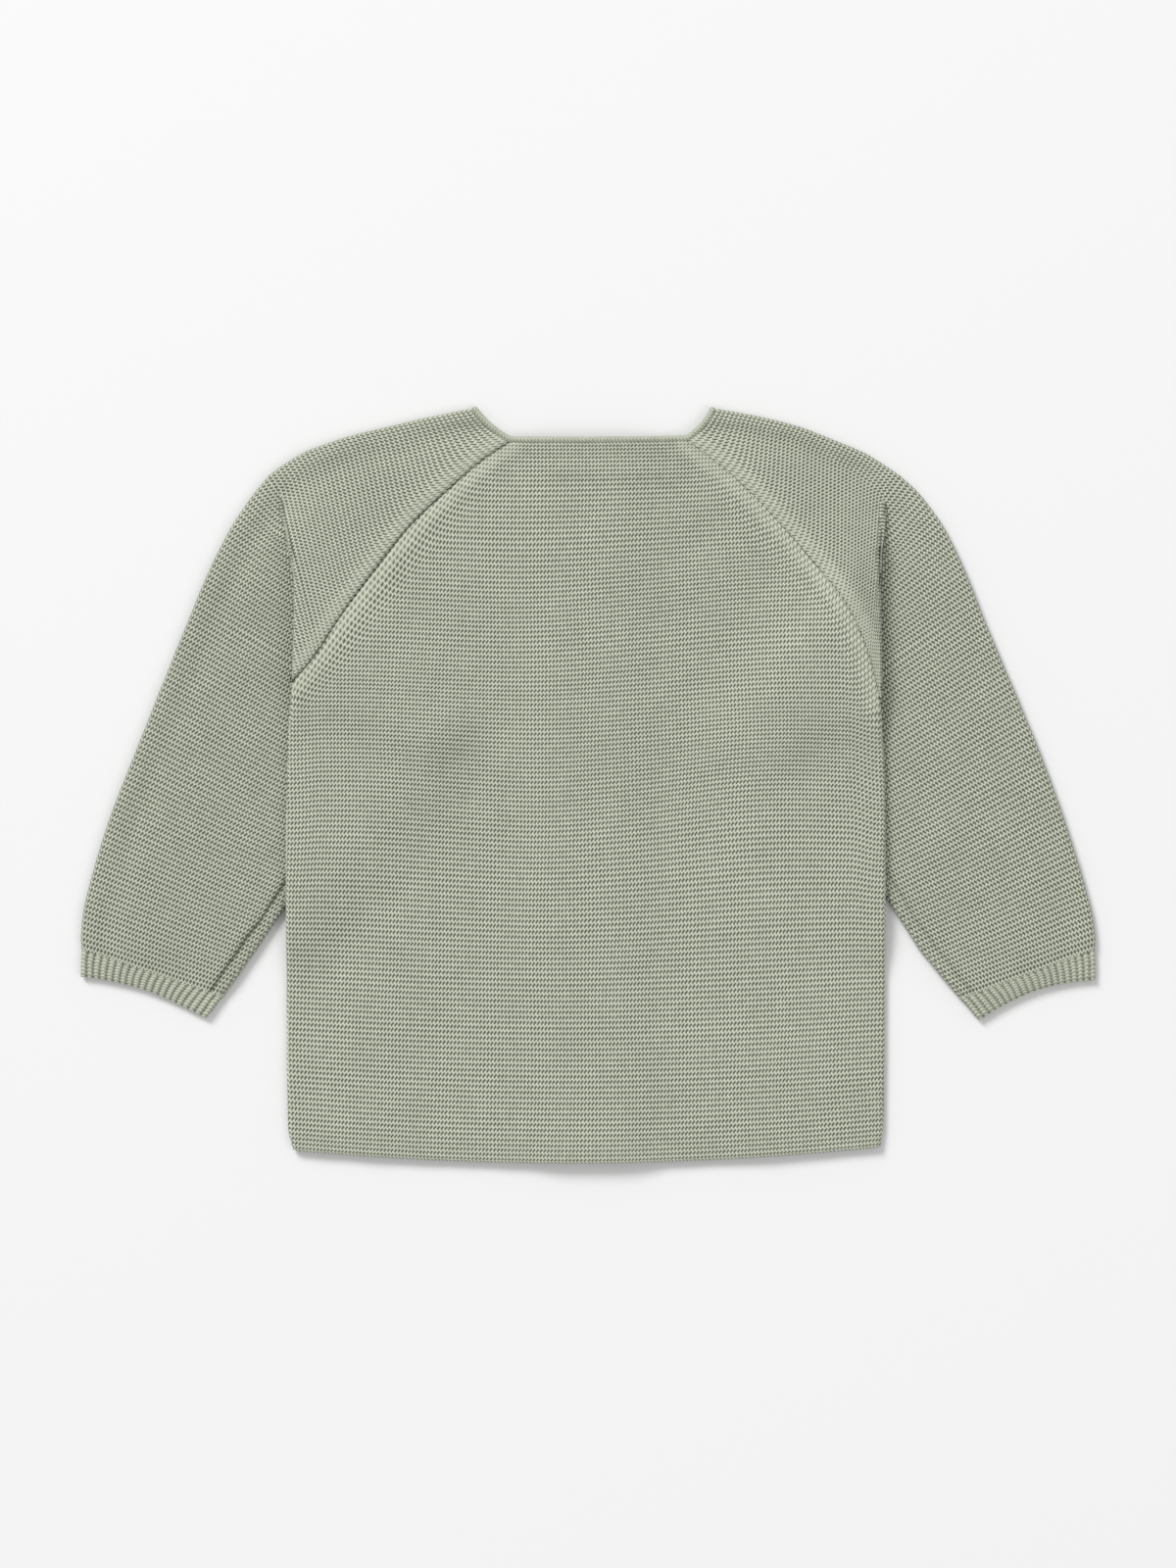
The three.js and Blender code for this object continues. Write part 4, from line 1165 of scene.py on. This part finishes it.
def lay_surface(context):
    """The pale, flat surface that the cardigan lies on."""
    mesh = bpy.data.meshes.new("surface")
    mesh.from_pydata([(-3, -3, 0), (3, -3, 0), (3, 3, 0), (-3, 3, 0)], [], [(0, 1, 2, 3)])
    floor = bpy.data.objects.new("surface", mesh)
    context.collection.objects.link(floor)
    shader = Shader("surface")
    colour = (*context.scene.cardigan_colours.floor, 1)
    shader.settle({"Base Color": colour, "Roughness": 0.9, "Specular IOR Level": 0.1})
    floor.data.materials.append(shader.material)


class CARDIGAN_OT_stage(bpy.types.Operator):
    """Makes the camera straight above, the pale surface and the soft light"""

    bl_idname = "cardigan.stage"
    bl_label = "Stage"

    def execute(self, context):
        look_down(context)
        lay_surface(context)
        area_light("key", (-3.8, 5.4, 5.4), 3.2, 590.0)
        area_light("fill", (4.2, -2.7, 5.7), 5.0, 110.0)
        world = bpy.data.worlds.new("world")
        context.scene.world = world
        world.use_nodes = True
        sky = world.node_tree.nodes["Background"].inputs
        sky["Color"].default_value = (1, 1, 1, 1)
        sky["Strength"].default_value = 0.56
        context.scene.view_settings.view_transform = "Standard"
        return {"FINISHED"}


class CARDIGAN_OT_body(bpy.types.Operator):
    """Builds the two fronts, the back over them and the edge round the neck"""

    bl_idname = "cardigan.body"
    bl_label = "Body"

    def execute(self, context):
        fronts = [build_front(LEFT, True), build_front(RIGHT, False)]
        back, flat, area = build_back()
        neck = build_neck_edge()
        return {"FINISHED"}


class CARDIGAN_OT_sleeves(bpy.types.Operator):
    """Builds both sleeves, the cloth folded back under each armhole and the rib cuffs"""

    bl_idname = "cardigan.sleeves"
    bl_label = "Sleeves"

    def execute(self, context):
        for side in SIDES:
            build_sleeve(side)
            build_pleat(side)
            build_cuff(side)
        return {"FINISHED"}


OPERATORS = (CARDIGAN_OT_stage, CARDIGAN_OT_body, CARDIGAN_OT_sleeves)


class CARDIGAN_PT_panel(bpy.types.Panel):
    """Lists the cardigan's sizes, colours and building steps"""

    bl_idname = "CARDIGAN_PT_panel"
    bl_label = "Cardigan"
    bl_space_type = "VIEW_3D"
    bl_region_type = "UI"
    bl_category = "Cardigan"

    def draw(self, context):
        for group in (context.scene.cardigan_sizes, context.scene.cardigan_colours):
            for name in group.__annotations__:
                self.layout.prop(group, name)
        for operator in OPERATORS:
            self.layout.operator(operator.bl_idname)


CLASSES = (CardiganSizes, CardiganColours, *OPERATORS, CARDIGAN_PT_panel)


def register():
    for cls in CLASSES:
        bpy.utils.register_class(cls)
    bpy.types.Scene.cardigan_sizes = bpy.props.PointerProperty(type=CardiganSizes)
    bpy.types.Scene.cardigan_colours = bpy.props.PointerProperty(type=CardiganColours)


def unregister():
    del bpy.types.Scene.cardigan_colours
    del bpy.types.Scene.cardigan_sizes
    for cls in reversed(CLASSES):
        bpy.utils.unregister_class(cls)


def main():
    """Registers the add-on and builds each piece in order."""
    register()
    bpy.ops.cardigan.stage()
    bpy.ops.cardigan.body()
    bpy.ops.cardigan.sleeves()


if __name__ == "__main__":
    main()
